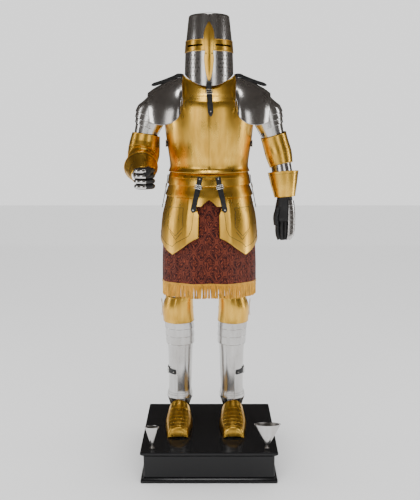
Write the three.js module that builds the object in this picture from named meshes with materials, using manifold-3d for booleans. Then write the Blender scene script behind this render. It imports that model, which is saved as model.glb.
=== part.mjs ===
// A full suit of plate armour standing empty on a black display plinth.
// Millimetres, +Z up, the figure faces -Y. The origin is the middle of the plinth's underside.
// Armour heights are measured from the plinth's top. The wearer's left is +X.

import * as THREE from 'three';
import { mergeVertices } from 'three/addons/utils/BufferGeometryUtils.js';
import Module from 'manifold-3d';

const wasm = await Module();
wasm.setup();

// ---------------------------------------------------------------- driving dimensions

const PLINTH = { width: 600, depth: 500, height: 145, base: 22, top: 12, inset: 14 };
const SEAM = 0.3;                 // gap between neighbouring pieces
const PLATE = 1.5;                // thickness of steel and brass sheet
const HEAVY = 2;                  // thickness of the helm's and breast's sheet
const CLOTH = 2.5;                // thickness of the lined brocade
const LEATHER = 3;                // thickness of the straps
const LEGS_X = -15;               // the two legs are centred a little to the wearer's right

const DEG = Math.PI / 180;
const SIDES = [['R', -1], ['L', 1]];

// Egg-shaped horizontal rings: half-width, reach to the front and reach to the back, by height.
const TORSO = [
  { height: 1197, wide: 174, front: 146, back: 122 },
  { height: 1214, wide: 168, front: 134, back: 112 },
  { height: 1265, wide: 173, front: 143, back: 114 },
  { height: 1325, wide: 182, front: 156, back: 122 },
  { height: 1385, wide: 188, front: 166, back: 130 },
  { height: 1435, wide: 190, front: 168, back: 136 },
  { height: 1480, wide: 186, front: 158, back: 138 },
  { height: 1506, wide: 176, front: 138, back: 134 },
  { height: 1550, wide: 148, front: 112, back: 116 },
  { height: 1592, wide: 126, front: 94, back: 94 },
];

// How far round the breast and back plates reach from the middle, by height: the armholes.
const TORSO_EDGE = [
  { height: 1197, breast: 93, back: 91 },
  { height: 1375, breast: 93, back: 91 },
  { height: 1430, breast: 62, back: 66 },
  { height: 1470, breast: 47, back: 56 },
  { height: 1520, breast: 46, back: 56 },
  { height: 1560, breast: 51, back: 54 },
  { height: 1592, breast: 58, back: 58 },
];

const HELM = [
  { height: 1540, wide: 102, front: 128, back: 120 },
  { height: 1600, wide: 102, front: 126, back: 120 },
  { height: 1690, wide: 99, front: 121, back: 116 },
  { height: 1728, wide: 96, front: 117, back: 113 },
  { height: 1780, wide: 90, front: 106, back: 103 },
  { height: 1832, wide: 84, front: 94, back: 92 },
];
const HELM_LOW = 1600;            // lower edge at the sides
const HELM_CHIN = 54;             // how far the front dips below it
const HELM_NAPE = 20;             // how far the back dips below it
const SIGHT = 1706;               // height of the eye slits
const SIGHT_GAP = 14;             // gap between the upper and lower plates behind them
const BEHIND_BAND = -0.05;        // cosine of the angle where the band ends and the skull drops behind it
const BAND = { low: 1685, high: 1728, thick: 1.5 };

// The nose bar: half-width by height, from the point at the chin to the point at the brow.
const NOSE_BAR = [
  { height: 1566, half: 2.5 },
  { height: 1590, half: 11 },
  { height: 1625, half: 17 },
  { height: 1655, half: 19 },
  { height: 1684, half: 16 },
  { height: 1706, half: 19 },
  { height: 1735, half: 21 },
  { height: 1765, half: 17 },
  { height: 1795, half: 2.5 },
];

// Waist and hip lames, the first tucked under the flange of the breast.
const FAULD_UPPER = [
  { height: 1143, wide: 179, front: 158, back: 134 },
  { height: 1175, wide: 174, front: 148, back: 126 },
  { height: 1204, wide: 163, front: 130, back: 108 },
];
const FAULD_LOWER = [
  { height: 1060, wide: 195, front: 182, back: 154 },
  { height: 1096, wide: 189, front: 174, back: 147 },
  { height: 1125, wide: 179, front: 160, back: 135 },
  { height: 1156, wide: 171, front: 148, back: 124 },
];
const APRON = { half: 58, low: 1062, arch: 33, peak: 1090 };

const TASSET = [
  { height: 845, wide: 214, front: 184, back: 168 },
  { height: 915, wide: 213, front: 184, back: 168 },
  { height: 1000, wide: 205, front: 180, back: 160 },
  { height: 1060, wide: 191, front: 174, back: 150 },
  { height: 1110, wide: 180, front: 156, back: 134 },
];
// Outline of a tasset: its upper and lower edge by the angle round the hip.
const TASSET_EDGE = [
  { angle: 12.5, low: 931, high: 1024 },
  { angle: 18.5, low: 920, high: 1072 },
  { angle: 22, low: 912, high: 1106 },
  { angle: 34, low: 880, high: 1108 },
  { angle: 47, low: 850, high: 1108 },
  { angle: 58, low: 866, high: 1108 },
  { angle: 76, low: 894, high: 1108 },
  { angle: 91, low: 914, high: 1106 },
];

const SKIRT = [
  { height: 719, wide: 206, front: 169, back: 174 },
  { height: 800, wide: 205, front: 169, back: 168 },
  { height: 900, wide: 201, front: 168, back: 160 },
  { height: 1000, wide: 192, front: 164, back: 148 },
  { height: 1070, wide: 178, front: 152, back: 134 },
  { height: 1126, wide: 163, front: 138, back: 118 },
];
const HEM_RISE = 12;              // the hem is this much higher in front than at the sides
const FRINGE = { drop: 66, thick: 4 };
// Folds of the skirt: where they lie, how deep at the hem (minus is a trough) and how wide, in degrees.
const FOLDS = [
  { angle: 2, depth: -9, width: 7 },
  { angle: -17, depth: 4, width: 12 },
  { angle: 24, depth: 5, width: 11 },
  { angle: -38, depth: -5, width: 9 },
  { angle: 45, depth: -4, width: 10 },
  { angle: -68, depth: 4, width: 13 },
  { angle: 76, depth: 3, width: 12 },
  { angle: -104, depth: -6, width: 11 },
  { angle: 108, depth: -5, width: 12 },
  { angle: -138, depth: 5, width: 14 },
  { angle: 141, depth: 4, width: 12 },
  { angle: 172, depth: -7, width: 10 },
];

// Shoulder plate: its crest, then its front and back lower edges, from the neck outwards.
const PAULDRON = [
  { at: 0, crestX: 113, crestZ: 1588, frontX: 106, frontY: -132, frontZ: 1476, backX: 112, backY: 138, backZ: 1470 },
  { at: 0.2, crestX: 138, crestZ: 1582, frontX: 118, frontY: -158, frontZ: 1430, backX: 120, backY: 150, backZ: 1426 },
  { at: 0.42, crestX: 170, crestZ: 1572, frontX: 147, frontY: -164, frontZ: 1402, backX: 148, backY: 154, backZ: 1400 },
  { at: 0.64, crestX: 203, crestZ: 1557, frontX: 184, frontY: -154, frontZ: 1392, backX: 186, backY: 148, backZ: 1390 },
  { at: 0.84, crestX: 235, crestZ: 1540, frontX: 219, frontY: -134, frontZ: 1394, backX: 220, backY: 132, backZ: 1392 },
  { at: 1, crestX: 257, crestZ: 1524, frontX: 243, frontY: -112, frontZ: 1403, backX: 244, backY: 112, backZ: 1402 },
];

// Arm sections along their centre line, from the lower end up: half-width across and half-depth.
const UPPER_ARM = [
  { at: 0, x: 280, y: 4, height: 1326, wide: 45, deep: 47 },
  { at: 50, x: 264, y: 2, height: 1372, wide: 53, deep: 54 },
  { at: 105, x: 246, y: 0, height: 1422, wide: 61, deep: 62 },
  { at: 160, x: 230, y: 0, height: 1474, wide: 60, deep: 66 },
];
// Shoulder lames: the part of the arm that each covers, and how far it stands off the arm.
const SHOULDER_LAMES = [
  { low: 62, high: 92, off: 3 },
  { low: 84, high: 116, off: 6 },
  { low: 108, high: 150, off: 9 },
];
const HANGING_ARM = {
  couter: [
    { at: 0, x: 311, y: -4, height: 1222, wide: 51, deep: 53 },
    { at: 45, x: 300, y: 3, height: 1266, wide: 57, deep: 60 },
    { at: 90, x: 287, y: 5, height: 1309, wide: 56, deep: 58 },
    { at: 128, x: 276, y: 3, height: 1346, wide: 56, deep: 57 },
  ],
  forearm: [
    { at: 0, x: 326, y: -26, height: 1104, wide: 36, deep: 33 },
    { at: 60, x: 319, y: -18, height: 1164, wide: 43, deep: 44 },
    { at: 125, x: 309, y: -5, height: 1228, wide: 43, deep: 45 },
  ],
  cuff: [
    { at: 0, x: 327, y: -28, height: 1086, wide: 45, deep: 40 },
    { at: 50, x: 323, y: -23, height: 1136, wide: 56, deep: 54 },
    { at: 105, x: 319, y: -16, height: 1190, wide: 66, deep: 66 },
  ],
};
const BENT_ARM = {
  couter: [
    { at: 0, x: 284, y: -86, height: 1232, wide: 53, deep: 50 },
    { at: 40, x: 283, y: -50, height: 1240, wide: 62, deep: 58 },
    { at: 85, x: 281, y: -14, height: 1264, wide: 68, deep: 64 },
    { at: 125, x: 277, y: 2, height: 1306, wide: 66, deep: 62 },
    { at: 168, x: 270, y: 5, height: 1348, wide: 60, deep: 58 },
  ],
  forearm: [
    { at: 0, x: 271, y: -216, height: 1196, wide: 33, deep: 30 },
    { at: 60, x: 276, y: -160, height: 1212, wide: 41, deep: 38 },
    { at: 130, x: 282, y: -92, height: 1229, wide: 47, deep: 44 },
  ],
  cuff: [
    { at: 0, x: 269, y: -222, height: 1192, wide: 42, deep: 38 },
    { at: 55, x: 275, y: -168, height: 1206, wide: 56, deep: 52 },
    { at: 105, x: 282, y: -120, height: 1219, wide: 70, deep: 66 },
  ],
};

// Fist round an empty grip: outline of its palm and fingers seen from above, and its height.
const FIST = { x: 252, y: -272, height: 1186, tall: 84, outer: 35, hollow: 15, long: 12, gap: 12, turn: 0.6, plate: 1.2 };
// Open hand, from the fingertips up to the wrist.
const OPEN_HAND = [
  { at: 0, x: 323, y: -62, height: 898, wide: 22, deep: 10 },
  { at: 26, x: 323, y: -58, height: 924, wide: 38, deep: 15 },
  { at: 80, x: 323, y: -50, height: 978, wide: 43, deep: 17 },
  { at: 130, x: 325, y: -38, height: 1028, wide: 41, deep: 20 },
  { at: 196, x: 327, y: -28, height: 1092, wide: 31, deep: 25 },
];

// Leg rings, from the ankle up, for the wearer's left leg from the middle of the two.
const LEG = [
  { height: 10, x: 126, y: 92, wide: 40, front: 46, back: 58 },
  { height: 70, x: 126, y: 92, wide: 47, front: 50, back: 56 },
  { height: 118, x: 125, y: 92, wide: 60, front: 54, back: 58 },
  { height: 160, x: 123, y: 90, wide: 53, front: 50, back: 55 },
  { height: 270, x: 121, y: 84, wide: 55, front: 58, back: 70 },
  { height: 360, x: 120, y: 76, wide: 57, front: 60, back: 72 },
  { height: 412, x: 120, y: 70, wide: 61, front: 60, back: 64 },
  { height: 470, x: 122, y: 62, wide: 62, front: 60, back: 60 },
  { height: 566, x: 128, y: 50, wide: 62, front: 62, back: 60 },
  { height: 640, x: 118, y: 40, wide: 53, front: 58, back: 52 },
  { height: 720, x: 110, y: 34, wide: 55, front: 62, back: 60 },
  { height: 800, x: 101, y: 28, wide: 60, front: 66, back: 66 },
  { height: 850, x: 98, y: 25, wide: 62, front: 68, back: 68 },
];
const GREAVE = { low: 120, high: 404, heel: 12 };
const KNEE_LAMES = { low: 396, high: 512, steps: 3, lip: 2.5 };
const POLEYN = { low: 506, high: 628, off: 8, boss: 9, from: -118, to: 118 };
const CUISSE = { low: 612, high: 846 };

// Foot plates, from the ankle to the toe: how far forward, half-width, height of the ridge.
const SABATON = [
  { at: 0, y: 36, wide: 54, ridge: 116, base: 92 },
  { at: 0.2, y: 12, wide: 58, ridge: 96, base: 62 },
  { at: 0.45, y: -26, wide: 62, ridge: 75, base: 20 },
  { at: 0.7, y: -66, wide: 58, ridge: 59, base: -34 },
  { at: 0.88, y: -97, wide: 50, ridge: 51, base: -88 },
  { at: 0.96, y: -112, wide: 46, ridge: 42, base: -110 },
  { at: 1, y: -116, wide: 45, ridge: 8, base: -116 },
];

const TIP_RESTS = [
  { name: 'tip_rest_R', x: -249, y: -205, half: 31, deep: 14, tall: 100 },
  { name: 'tip_rest_L', x: 254, y: -205, half: 58, deep: 18, tall: 112 },
];

// Plain inner stand that carries the plates.
const STAND = { post: 11, legX: 113, y: 66, hips: 880, board: 20, spine: 13, spineY: 62, bar: 1496, barHalf: 118, head: 1786, pad: 58 };

// ---------------------------------------------------------------- finishes

const FINISHES = {
  steel: { color: 0xb4b8bf, roughness: 0.24, metalness: 1 },
  brass: { color: 0xcaa14a, roughness: 0.26, metalness: 1 },
  leather: { color: 0x14110f, roughness: 0.55, metalness: 0 },
  buckle: { color: 0xd0d2d6, roughness: 0.2, metalness: 1 },
  brocade: { color: 0x5a0f14, roughness: 0.7, metalness: 0 },
  fringe: { color: 0xd69a1c, roughness: 0.6, metalness: 0 },
  lacquer: { color: 0x0a0a0b, roughness: 0.15, metalness: 0 },
  frame: { color: 0x2a2a2c, roughness: 0.5, metalness: 0.6 },
};

// ---------------------------------------------------------------- reading the tables

const clamp = (value, low, high) => Math.min(Math.max(value, low), high);
const lerp = (a, b, t) => a + (b - a) * t;

/** A cubic through two values with the given slopes, at t from 0 to 1. */
function hermite(a, slopeA, b, slopeB, t) {
  const t2 = t * t;
  const t3 = t2 * t;
  return (2 * t3 - 3 * t2 + 1) * a + (t3 - 2 * t2 + t) * slopeA
    + (3 * t2 - 2 * t3) * b + (t3 - t2) * slopeB;
}

/** The row of a table at a value of its key column, every column on a smooth curve through the rows. */
function rowAt(table, key, value) {
  const last = table.length - 1;
  const t = clamp(value, table[0][key], table[last][key]);
  let i = 0;
  while (i < last - 1 && t > table[i + 1][key]) i += 1;
  const [before, start] = [table[Math.max(i - 1, 0)], table[i]];
  const [end, after] = [table[i + 1], table[Math.min(i + 2, last)]];
  const span = end[key] - start[key];
  const row = {};
  for (const column of Object.keys(start)) {
    const slopeA = (end[column] - before[column]) / (end[key] - before[key]) * span;
    const slopeB = (after[column] - start[column]) / (after[key] - start[key]) * span;
    row[column] = hermite(start[column], slopeA, end[column], slopeB, (t - start[key]) / span);
  }
  return row;
}

/** The row of a table at a value, on straight lines between the rows: for outlines with corners. */
function cornerAt(table, key, value) {
  const last = table.length - 1;
  const t = clamp(value, table[0][key], table[last][key]);
  let i = 0;
  while (i < last - 1 && t > table[i + 1][key]) i += 1;
  const f = (t - table[i][key]) / (table[i + 1][key] - table[i][key]);
  const row = {};
  for (const column of Object.keys(table[i])) row[column] = lerp(table[i][column], table[i + 1][column], f);
  return row;
}

// ---------------------------------------------------------------- surfaces

/** Point of an egg-shaped horizontal ring; angle 0 is the front and grows towards +X. */
function ringPoint(row, angle, off = 0) {
  const reach = Math.cos(angle) > 0 ? row.front : row.back;
  return new THREE.Vector3(
    (row.x ?? 0) + (row.wide + off) * Math.sin(angle),
    (row.y ?? 0) - (reach + off) * Math.cos(angle),
    row.height,
  );
}

/** Surface over a table of rings, between two angles in degrees and two heights (each may depend on the angle). */
function ringFace(table, { from = -180, to = 180, low, high, off = 0 }) {
  const edge = (limit, angle) => (typeof limit === 'function' ? limit(angle) : limit);
  return (u, v) => {
    const angle = lerp(from, to, u) * DEG;
    const height = lerp(edge(low, angle), edge(high, angle), v);
    const lift = typeof off === 'function' ? off(angle, height) : off;
    return ringPoint(rowAt(table, 'height', height), angle, lift);
  };
}

/** Surface round a bent centre line: each ring stands square to the line. */
function tubeFace(table, { from = -180, to = 180, low = table[0].at, high = table[table.length - 1].at, off = 0 }) {
  const centre = (at) => {
    const row = rowAt(table, 'at', at);
    return new THREE.Vector3(row.x, row.y, row.height);
  };
  const start = table[0].at;
  const end = table[table.length - 1].at;
  return (u, v) => {
    const angle = lerp(from, to, u) * DEG;
    const at = lerp(low, high, v);
    const row = rowAt(table, 'at', at);
    const along = centre(Math.min(at + 1, end)).sub(centre(Math.max(at - 1, start))).normalize();
    const across = new THREE.Vector3(1, 0, 0).addScaledVector(along, -along.x).normalize();
    const deep = along.clone().cross(across);
    const lift = typeof off === 'function' ? off(angle, at) : off;
    return centre(at)
      .addScaledVector(across, (row.wide + lift) * Math.sin(angle))
      .addScaledVector(deep, -(row.deep + lift) * Math.cos(angle));
  };
}

/** The same surface for the wearer's right side. */
function mirrored(face) {
  return (u, v) => {
    const point = face(1 - u, v);
    point.x = -point.x;
    return point;
  };
}

const steps = (count) => Array.from({ length: count + 1 }, (_, i) => i / count);

/** A sheet of the given thickness: `face(u, v)` is its outside, with u round or across and v upwards. */
function sheet(face, { around, along, wall, closed = false }) {
  const us = Array.isArray(around) ? around : steps(around);
  const vs = Array.isArray(along) ? along : steps(along);
  const columns = closed ? us.slice(0, -1) : us;
  const outside = columns.map((u) => vs.map((v) => face(u, v)));
  const count = columns.length;
  const rows = vs.length;
  const column = (i) => (closed ? outside[(i + count) % count] : outside[clamp(i, 0, count - 1)]);
  const inside = outside.map((points, i) => points.map((point, j) => {
    const alongU = column(i + 1)[j].clone().sub(column(i - 1)[j]);
    const alongV = points[Math.min(j + 1, rows - 1)].clone().sub(points[Math.max(j - 1, 0)]);
    return point.clone().addScaledVector(alongU.cross(alongV).normalize(), -wall);
  }));
  const out = (i, j) => (i % count) * rows + j;
  const inn = (i, j) => count * rows + out(i, j);
  const triangles = [];
  const quad = (a, b, c, d) => triangles.push(a, b, c, a, c, d);
  const cells = closed ? count : count - 1;
  const top = rows - 1;
  for (let i = 0; i < cells; i += 1) {
    for (let j = 0; j < top; j += 1) {
      quad(out(i, j), out(i + 1, j), out(i + 1, j + 1), out(i, j + 1));
      quad(inn(i, j), inn(i, j + 1), inn(i + 1, j + 1), inn(i + 1, j));
    }
    quad(out(i + 1, 0), out(i, 0), inn(i, 0), inn(i + 1, 0));
    quad(out(i, top), out(i + 1, top), inn(i + 1, top), inn(i, top));
  }
  if (!closed) {
    const last = count - 1;
    for (let j = 0; j < top; j += 1) {
      quad(out(0, j), out(0, j + 1), inn(0, j + 1), inn(0, j));
      quad(out(last, j + 1), out(last, j), inn(last, j), inn(last, j + 1));
    }
  }
  const geometry = new THREE.BufferGeometry();
  const positions = [...outside, ...inside].flat().flatMap((point) => point.toArray());
  geometry.setAttribute('position', new THREE.Float32BufferAttribute(positions, 3));
  geometry.setIndex(triangles);
  return geometry;
}

// ---------------------------------------------------------------- joins and cuts

/** A closed three.js geometry as a manifold solid. */
function solid(geometry) {
  const bare = geometry.clone();
  bare.deleteAttribute('normal');
  bare.deleteAttribute('uv');
  const merged = mergeVertices(bare, 1e-4);
  return new wasm.Manifold(new wasm.Mesh({
    numProp: 3,
    vertProperties: merged.attributes.position.array,
    triVerts: Uint32Array.from(merged.index.array),
  }));
}

/** A manifold solid as a three.js geometry. */
function geometryOf(manifold) {
  const mesh = manifold.getMesh();
  const geometry = new THREE.BufferGeometry();
  geometry.setAttribute('position', new THREE.Float32BufferAttribute(mesh.vertProperties, 3));
  geometry.setIndex([...mesh.triVerts]);
  return geometry;
}

const join = (parts) => geometryOf(parts.map(solid).reduce((whole, part) => whole.add(part)));
const cut = (body, tools) => geometryOf(tools.map(solid).reduce((whole, tool) => whole.subtract(tool), solid(body)));

const box = (width, depth, height, x, y, z) => new THREE.BoxGeometry(width, depth, height).translate(x, y, z);
const rod = (radius, low, high, x, y) => new THREE.CylinderGeometry(radius, radius, high - low, 12)
  .rotateX(Math.PI / 2).translate(x, y, (low + high) / 2);

// ---------------------------------------------------------------- the pieces

const group = new THREE.Group();
const armour = new THREE.Group();
armour.position.z = PLINTH.height;
group.add(armour);

/** Adds one named piece with its own material. */
function add(name, geometry, finish, parent = armour) {
  const piece = new THREE.Mesh(geometry, new THREE.MeshStandardMaterial(FINISHES[finish]));
  piece.name = name;
  parent.add(piece);
  return piece;
}

/** Adds a piece to each side of the body, from the surface of the wearer's left one. */
function addPair(name, face, options, finish, shift = 0) {
  for (const [letter, side] of SIDES) {
    const own = side < 0 ? mirrored(face) : face;
    const around = side < 0 && Array.isArray(options.around)
      ? options.around.map((u) => 1 - u).reverse() : options.around;
    add(`${name}_${letter}`, sheet(own, { ...options, around }), finish).position.x = shift;
  }
}

/** Black display plinth: base board, recessed body and top board. */
function makePlinth() {
  const { width, depth, height, base, top, inset } = PLINTH;
  const body = height - base - top - 2 * SEAM;
  add('plinth_base', box(width, depth, base, 0, 0, base / 2), 'lacquer', group);
  add('plinth_body', box(width - 2 * inset, depth - 2 * inset, body, 0, 0, base + SEAM + body / 2), 'lacquer', group);
  add('plinth_top', box(width, depth, top, 0, 0, height - top / 2), 'lacquer', group);
}

/** Two folded sheet pockets screwed to the plinth, each a point-down cone open at the top. */
function makeTipRests() {
  for (const { name, x, y, half, deep, tall } of TIP_RESTS) {
    const cone = [
      { height: 4, wide: 4, front: 4, back: 4 },
      { height: tall, wide: half, front: deep, back: deep },
    ];
    const pocket = sheet(ringFace(cone, { low: 4, high: tall }), { around: 16, along: 2, wall: PLATE, closed: true });
    const foot = box(22, 16, 5, 0, -6, 2.5 + SEAM);
    add(name, join([pocket, foot]), 'steel').position.set(x, y, 0);
  }
}

/** Plain welded frame inside the armour: leg posts, hip board, spine, shoulder bar and head pad. */
function makeStand() {
  const { post, legX, y, hips, board, spine, spineY, bar, barHalf, head, pad } = STAND;
  const wide = 2 * legX + 28;
  add('stand_frame', join([
    rod(post, SEAM, hips + 5, LEGS_X - legX, y),
    rod(post, SEAM, hips + 5, LEGS_X + legX, y),
    box(wide, 46, board, LEGS_X, y, hips + board / 2),
    rod(spine, hips + 5, head + 5, 0, spineY),
    box(2 * barHalf, 24, 24, 0, spineY, bar),
    rod(pad, head, head + 12, 0, spineY - 40),
  ]), 'frame');
}

const helmLow = (angle) => HELM_LOW - (Math.cos(angle) > 0
  ? HELM_CHIN * Math.cos(angle) ** 1.6 : HELM_NAPE * Math.abs(Math.cos(angle)) ** 1.6);

/** The helm: skull with a flat lid, face and nape plates, sight band with its slits, and the nose bar. */
function makeHelm() {
  const crown = HELM[HELM.length - 1];
  const roof = [
    ...HELM.slice(2, -1),
    { height: crown.height - 8, wide: crown.wide, front: crown.front, back: crown.back },
    { height: crown.height - 2.5, wide: crown.wide - 2.5, front: crown.front - 2.5, back: crown.back - 2.5 },
    { height: crown.height, wide: crown.wide - 9, front: crown.front - 9, back: crown.back - 9 },
  ];
  const skullLow = (angle) => (Math.cos(angle) > BEHIND_BAND ? SIGHT + SIGHT_GAP / 2 : BAND.low);
  const skull = sheet(ringFace(roof, { low: skullLow, high: crown.height }), {
    around: 24, along: [0, 0.12, 0.94, 0.98, 1], wall: HEAVY, closed: true,
  });
  const lid = new THREE.CylinderGeometry(1, 1, HEAVY + 1, 24).rotateX(Math.PI / 2)
    .scale(crown.wide - 8, (crown.front + crown.back) / 2 - 8, 1)
    .translate(0, (crown.back - crown.front) / 2, crown.height - (HEAVY + 1) / 2);
  add('helm_skull', join([skull, lid]), 'steel');

  const faceHigh = SIGHT - SIGHT_GAP / 2;
  const face = ringFace(HELM, { from: -92, to: 92, low: helmLow, high: faceHigh });
  add('helm_face', sheet(face, { around: 16, along: 3, wall: HEAVY }), 'steel');
  const back = ringFace(HELM, { from: 90, to: 270, low: helmLow, high: faceHigh, off: -HEAVY - 3 * SEAM });
  add('helm_back', sheet(back, { around: 12, along: 2, wall: HEAVY }), 'steel');

  const band = sheet(ringFace(HELM, { from: -92, to: 92, low: BAND.low, high: BAND.high, off: BAND.thick + 3 * SEAM }), {
    around: 18, along: 1, wall: BAND.thick,
  });
  const slit = (side) => box(62, 90, 5, side * 57, -95, SIGHT);
  add('helm_band', cut(band, [slit(-1), slit(1)]), 'brass');

  const barLow = NOSE_BAR[0].height;
  const barHigh = NOSE_BAR[NOSE_BAR.length - 1].height;
  const noseBar = (u, v) => {
    const height = lerp(barLow, barHigh, v);
    const row = rowAt(HELM, 'height', height);
    const x = lerp(-1, 1, u) * rowAt(NOSE_BAR, 'height', height).half;
    const reach = row.front + 2 * BAND.thick + 6 * SEAM;
    return new THREE.Vector3(x, -reach * Math.sqrt(1 - (x / row.wide) ** 2), height);
  };
  add('helm_bar', sheet(noseBar, { around: 2, along: 10, wall: BAND.thick }), 'brass');
}

/** A flat strap along a list of points, its width lying across `across`. */
function strap(points, wide, across = new THREE.Vector3(1, 0, 0), thick = LEATHER) {
  const path = new THREE.CatmullRomCurve3(points.map((point) => new THREE.Vector3(...point)));
  const face = (u, v) => path.getPoint(v).addScaledVector(across, lerp(-wide / 2, wide / 2, u));
  return sheet(face, { around: 1, along: 2 * points.length, wall: thick });
}

/** A rectangular buckle with an open middle, its face towards `angle` round the body. */
function buckle(wide, tall, bar = 3, thick = 3) {
  const outline = new THREE.Shape([[-1, -1], [1, -1], [1, 1], [-1, 1]]
    .map(([x, y]) => new THREE.Vector2(x * wide / 2, y * tall / 2)));
  outline.holes.push(new THREE.Path([[-1, -1], [-1, 1], [1, 1], [1, -1]]
    .map(([x, y]) => new THREE.Vector2(x * (wide / 2 - bar), y * (tall / 2 - bar)))));
  return new THREE.ExtrudeGeometry(outline, { depth: thick, bevelEnabled: false }).rotateX(Math.PI / 2);
}

/** Chin strap from the helm down over the breast, with its buckle. */
function makeHelmStrap() {
  add('helm_strap', strap([
    [8, -175, 1428], [5, -174, 1465], [2, -160, 1506], [0, -146, 1536], [0, -136, 1558],
  ], 22), 'leather');
  add('helm_buckle', buckle(28, 18).rotateX(0.42), 'buckle').position.set(1, -163, 1524);
}

/** Breast and back plates: each a shell between the armholes, from the waist flange to the neck. */
function makeCuirass() {
  const [low, high] = [TORSO[0].height, TORSO[TORSO.length - 1].height];
  const plate = (column, middle, off) => (u, v) => {
    const across = lerp(-1, 1, u);
    const neck = high - 46 * (1 - Math.abs(across) ** 1.6);
    const height = lerp(low, neck, v);
    const reach = rowAt(TORSO_EDGE, 'height', height)[column];
    return ringPoint(rowAt(TORSO, 'height', height), (middle + across * reach) * DEG, off);
  };
  const along = [0, 0.045, 0.2, 0.4, 0.58, 0.7, 0.79, 1];
  add('breastplate', sheet(plate('breast', 0, 0), { around: 16, along, wall: HEAVY }), 'brass');
  add('backplate', sheet(plate('back', 180, -HEAVY - 2.6), { around: 12, along, wall: PLATE }), 'brass');
}

/** Side straps that close the breast on the back, and shoulder straps with their free ends. */
function makeBodyStraps() {
  const side = ringFace(TORSO, { from: 74, to: 108, low: 1300, high: 1322, off: LEATHER + 1 });
  addPair('side_strap', side, { around: 5, along: 1, wall: LEATHER }, 'leather');
  for (const [letter, s] of SIDES) {
    const points = [[108, 6, 1607], [126, 2, 1606], [160, -3, 1595], [196, -8, 1580], [232, -14, 1562]]
      .map(([x, y, z]) => [s * x, y, z]);
    const along = s > 0 ? points : points.reverse();
    add(`shoulder_strap_${letter}`, strap(along, 20, new THREE.Vector3(0, 1, 0)), 'leather');
  }
}

/** Hip lames in front, with the arched apron, and the plain ones behind. */
function makeFauld() {
  const wrap = 97;
  const lap = -PLATE - 1.5;
  const upper = ringFace(FAULD_UPPER, { from: -wrap, to: wrap, low: 1143, high: 1204 });
  add('fauld_upper', sheet(upper, { around: 18, along: 2, wall: PLATE }), 'brass');

  const lowerEdge = (angle) => {
    const x = Math.abs(FAULD_LOWER[0].wide * Math.sin(angle));
    if (Math.cos(angle) < 0 || x > APRON.half + 3) return 1096;
    if (x > APRON.half) return lerp(APRON.low, 1096, (x - APRON.half) / 3);
    if (x > APRON.arch) return APRON.low;
    return lerp(APRON.peak, APRON.low, (x / APRON.arch) ** 1.3);
  };
  const stops = [0, 12, 23, 33, 57.5, 61.5, 90, 125, 158, 182, 194.5];
  const angles = stops.map((x) => Math.asin(Math.min(x / 195, 1)) / DEG);
  const halfway = [...angles, wrap].map((angle) => angle / wrap);
  const around = [...halfway.slice(1).reverse().map((a) => (1 - a) / 2), ...halfway.map((a) => (1 + a) / 2)];
  const lower = ringFace(FAULD_LOWER, { from: -wrap, to: wrap, low: lowerEdge, high: 1156 });
  add('fauld_lower', sheet(lower, { around, along: 3, wall: PLATE }), 'brass');

  const culet = [
    { height: 1060, wide: 186, front: 160, back: 158 },
    { height: 1110, wide: 178, front: 154, back: 144 },
    { height: 1150, wide: 170, front: 146, back: 134 },
    { height: 1204, wide: 157, front: 128, back: 108 },
  ];
  const rear = ringFace(culet, { from: 93, to: 267, low: 1060, high: 1204, off: lap });
  add('culet', sheet(rear, { around: 14, along: 4, wall: PLATE }), 'brass');
}

/** Pointed thigh plates hung from the hip lames. */
function makeTassets() {
  const [inner, outer] = [TASSET_EDGE[0].angle, TASSET_EDGE[TASSET_EDGE.length - 1].angle];
  const edge = (column) => (angle) => cornerAt(TASSET_EDGE, 'angle', angle / DEG)[column];
  const face = ringFace(TASSET, { from: inner, to: outer, low: edge('low'), high: edge('high') });
  const around = [12.5, 18.5, 22, 28, 34, 40.5, 47, 52.5, 58, 67, 76, 91].map((a) => (a - inner) / (outer - inner));
  addPair('tasset', face, { around, along: 4, wall: PLATE }, 'brass');
}

/** Straps from the hip lames to the tassets, in front and at the hips. */
function makeHipStraps() {
  const cover = [
    { height: 1030, wide: 207, front: 189, back: 168 },
    { height: 1060, wide: 201, front: 187, back: 162 },
    { height: 1096, wide: 194, front: 179, back: 154 },
    { height: 1143, wide: 184, front: 163, back: 140 },
    { height: 1185, wide: 178, front: 152, back: 134 },
  ];
  const slanted = (fromAngle, toAngle, half, low, high) => (u, v) => {
    const angle = lerp(toAngle, fromAngle, v) + lerp(-half, half, u);
    return ringPoint(rowAt(cover, 'height', lerp(low, high, v)), angle * DEG, 0);
  };
  addPair('fauld_strap', slanted(12, 19.5, 3.3, 1036, 1180), { around: 1, along: 5, wall: LEATHER - 1 }, 'leather');
  addPair('hip_strap', slanted(84, 88, 3.6, 1040, 1180), { around: 1, along: 5, wall: LEATHER - 1 }, 'leather');
}

/** How far the folds push the cloth in or out, growing from the waist to the hem. */
function foldAt(angle, height) {
  const growth = clamp((SKIRT[SKIRT.length - 1].height - height) / 330, 0, 1);
  const turn = (difference) => ((difference + 540) % 360) - 180;
  return growth * FOLDS.reduce((sum, fold) => {
    const away = turn(angle / DEG - fold.angle) / fold.width;
    return sum + fold.depth * Math.exp(-away * away);
  }, 0);
}

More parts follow.
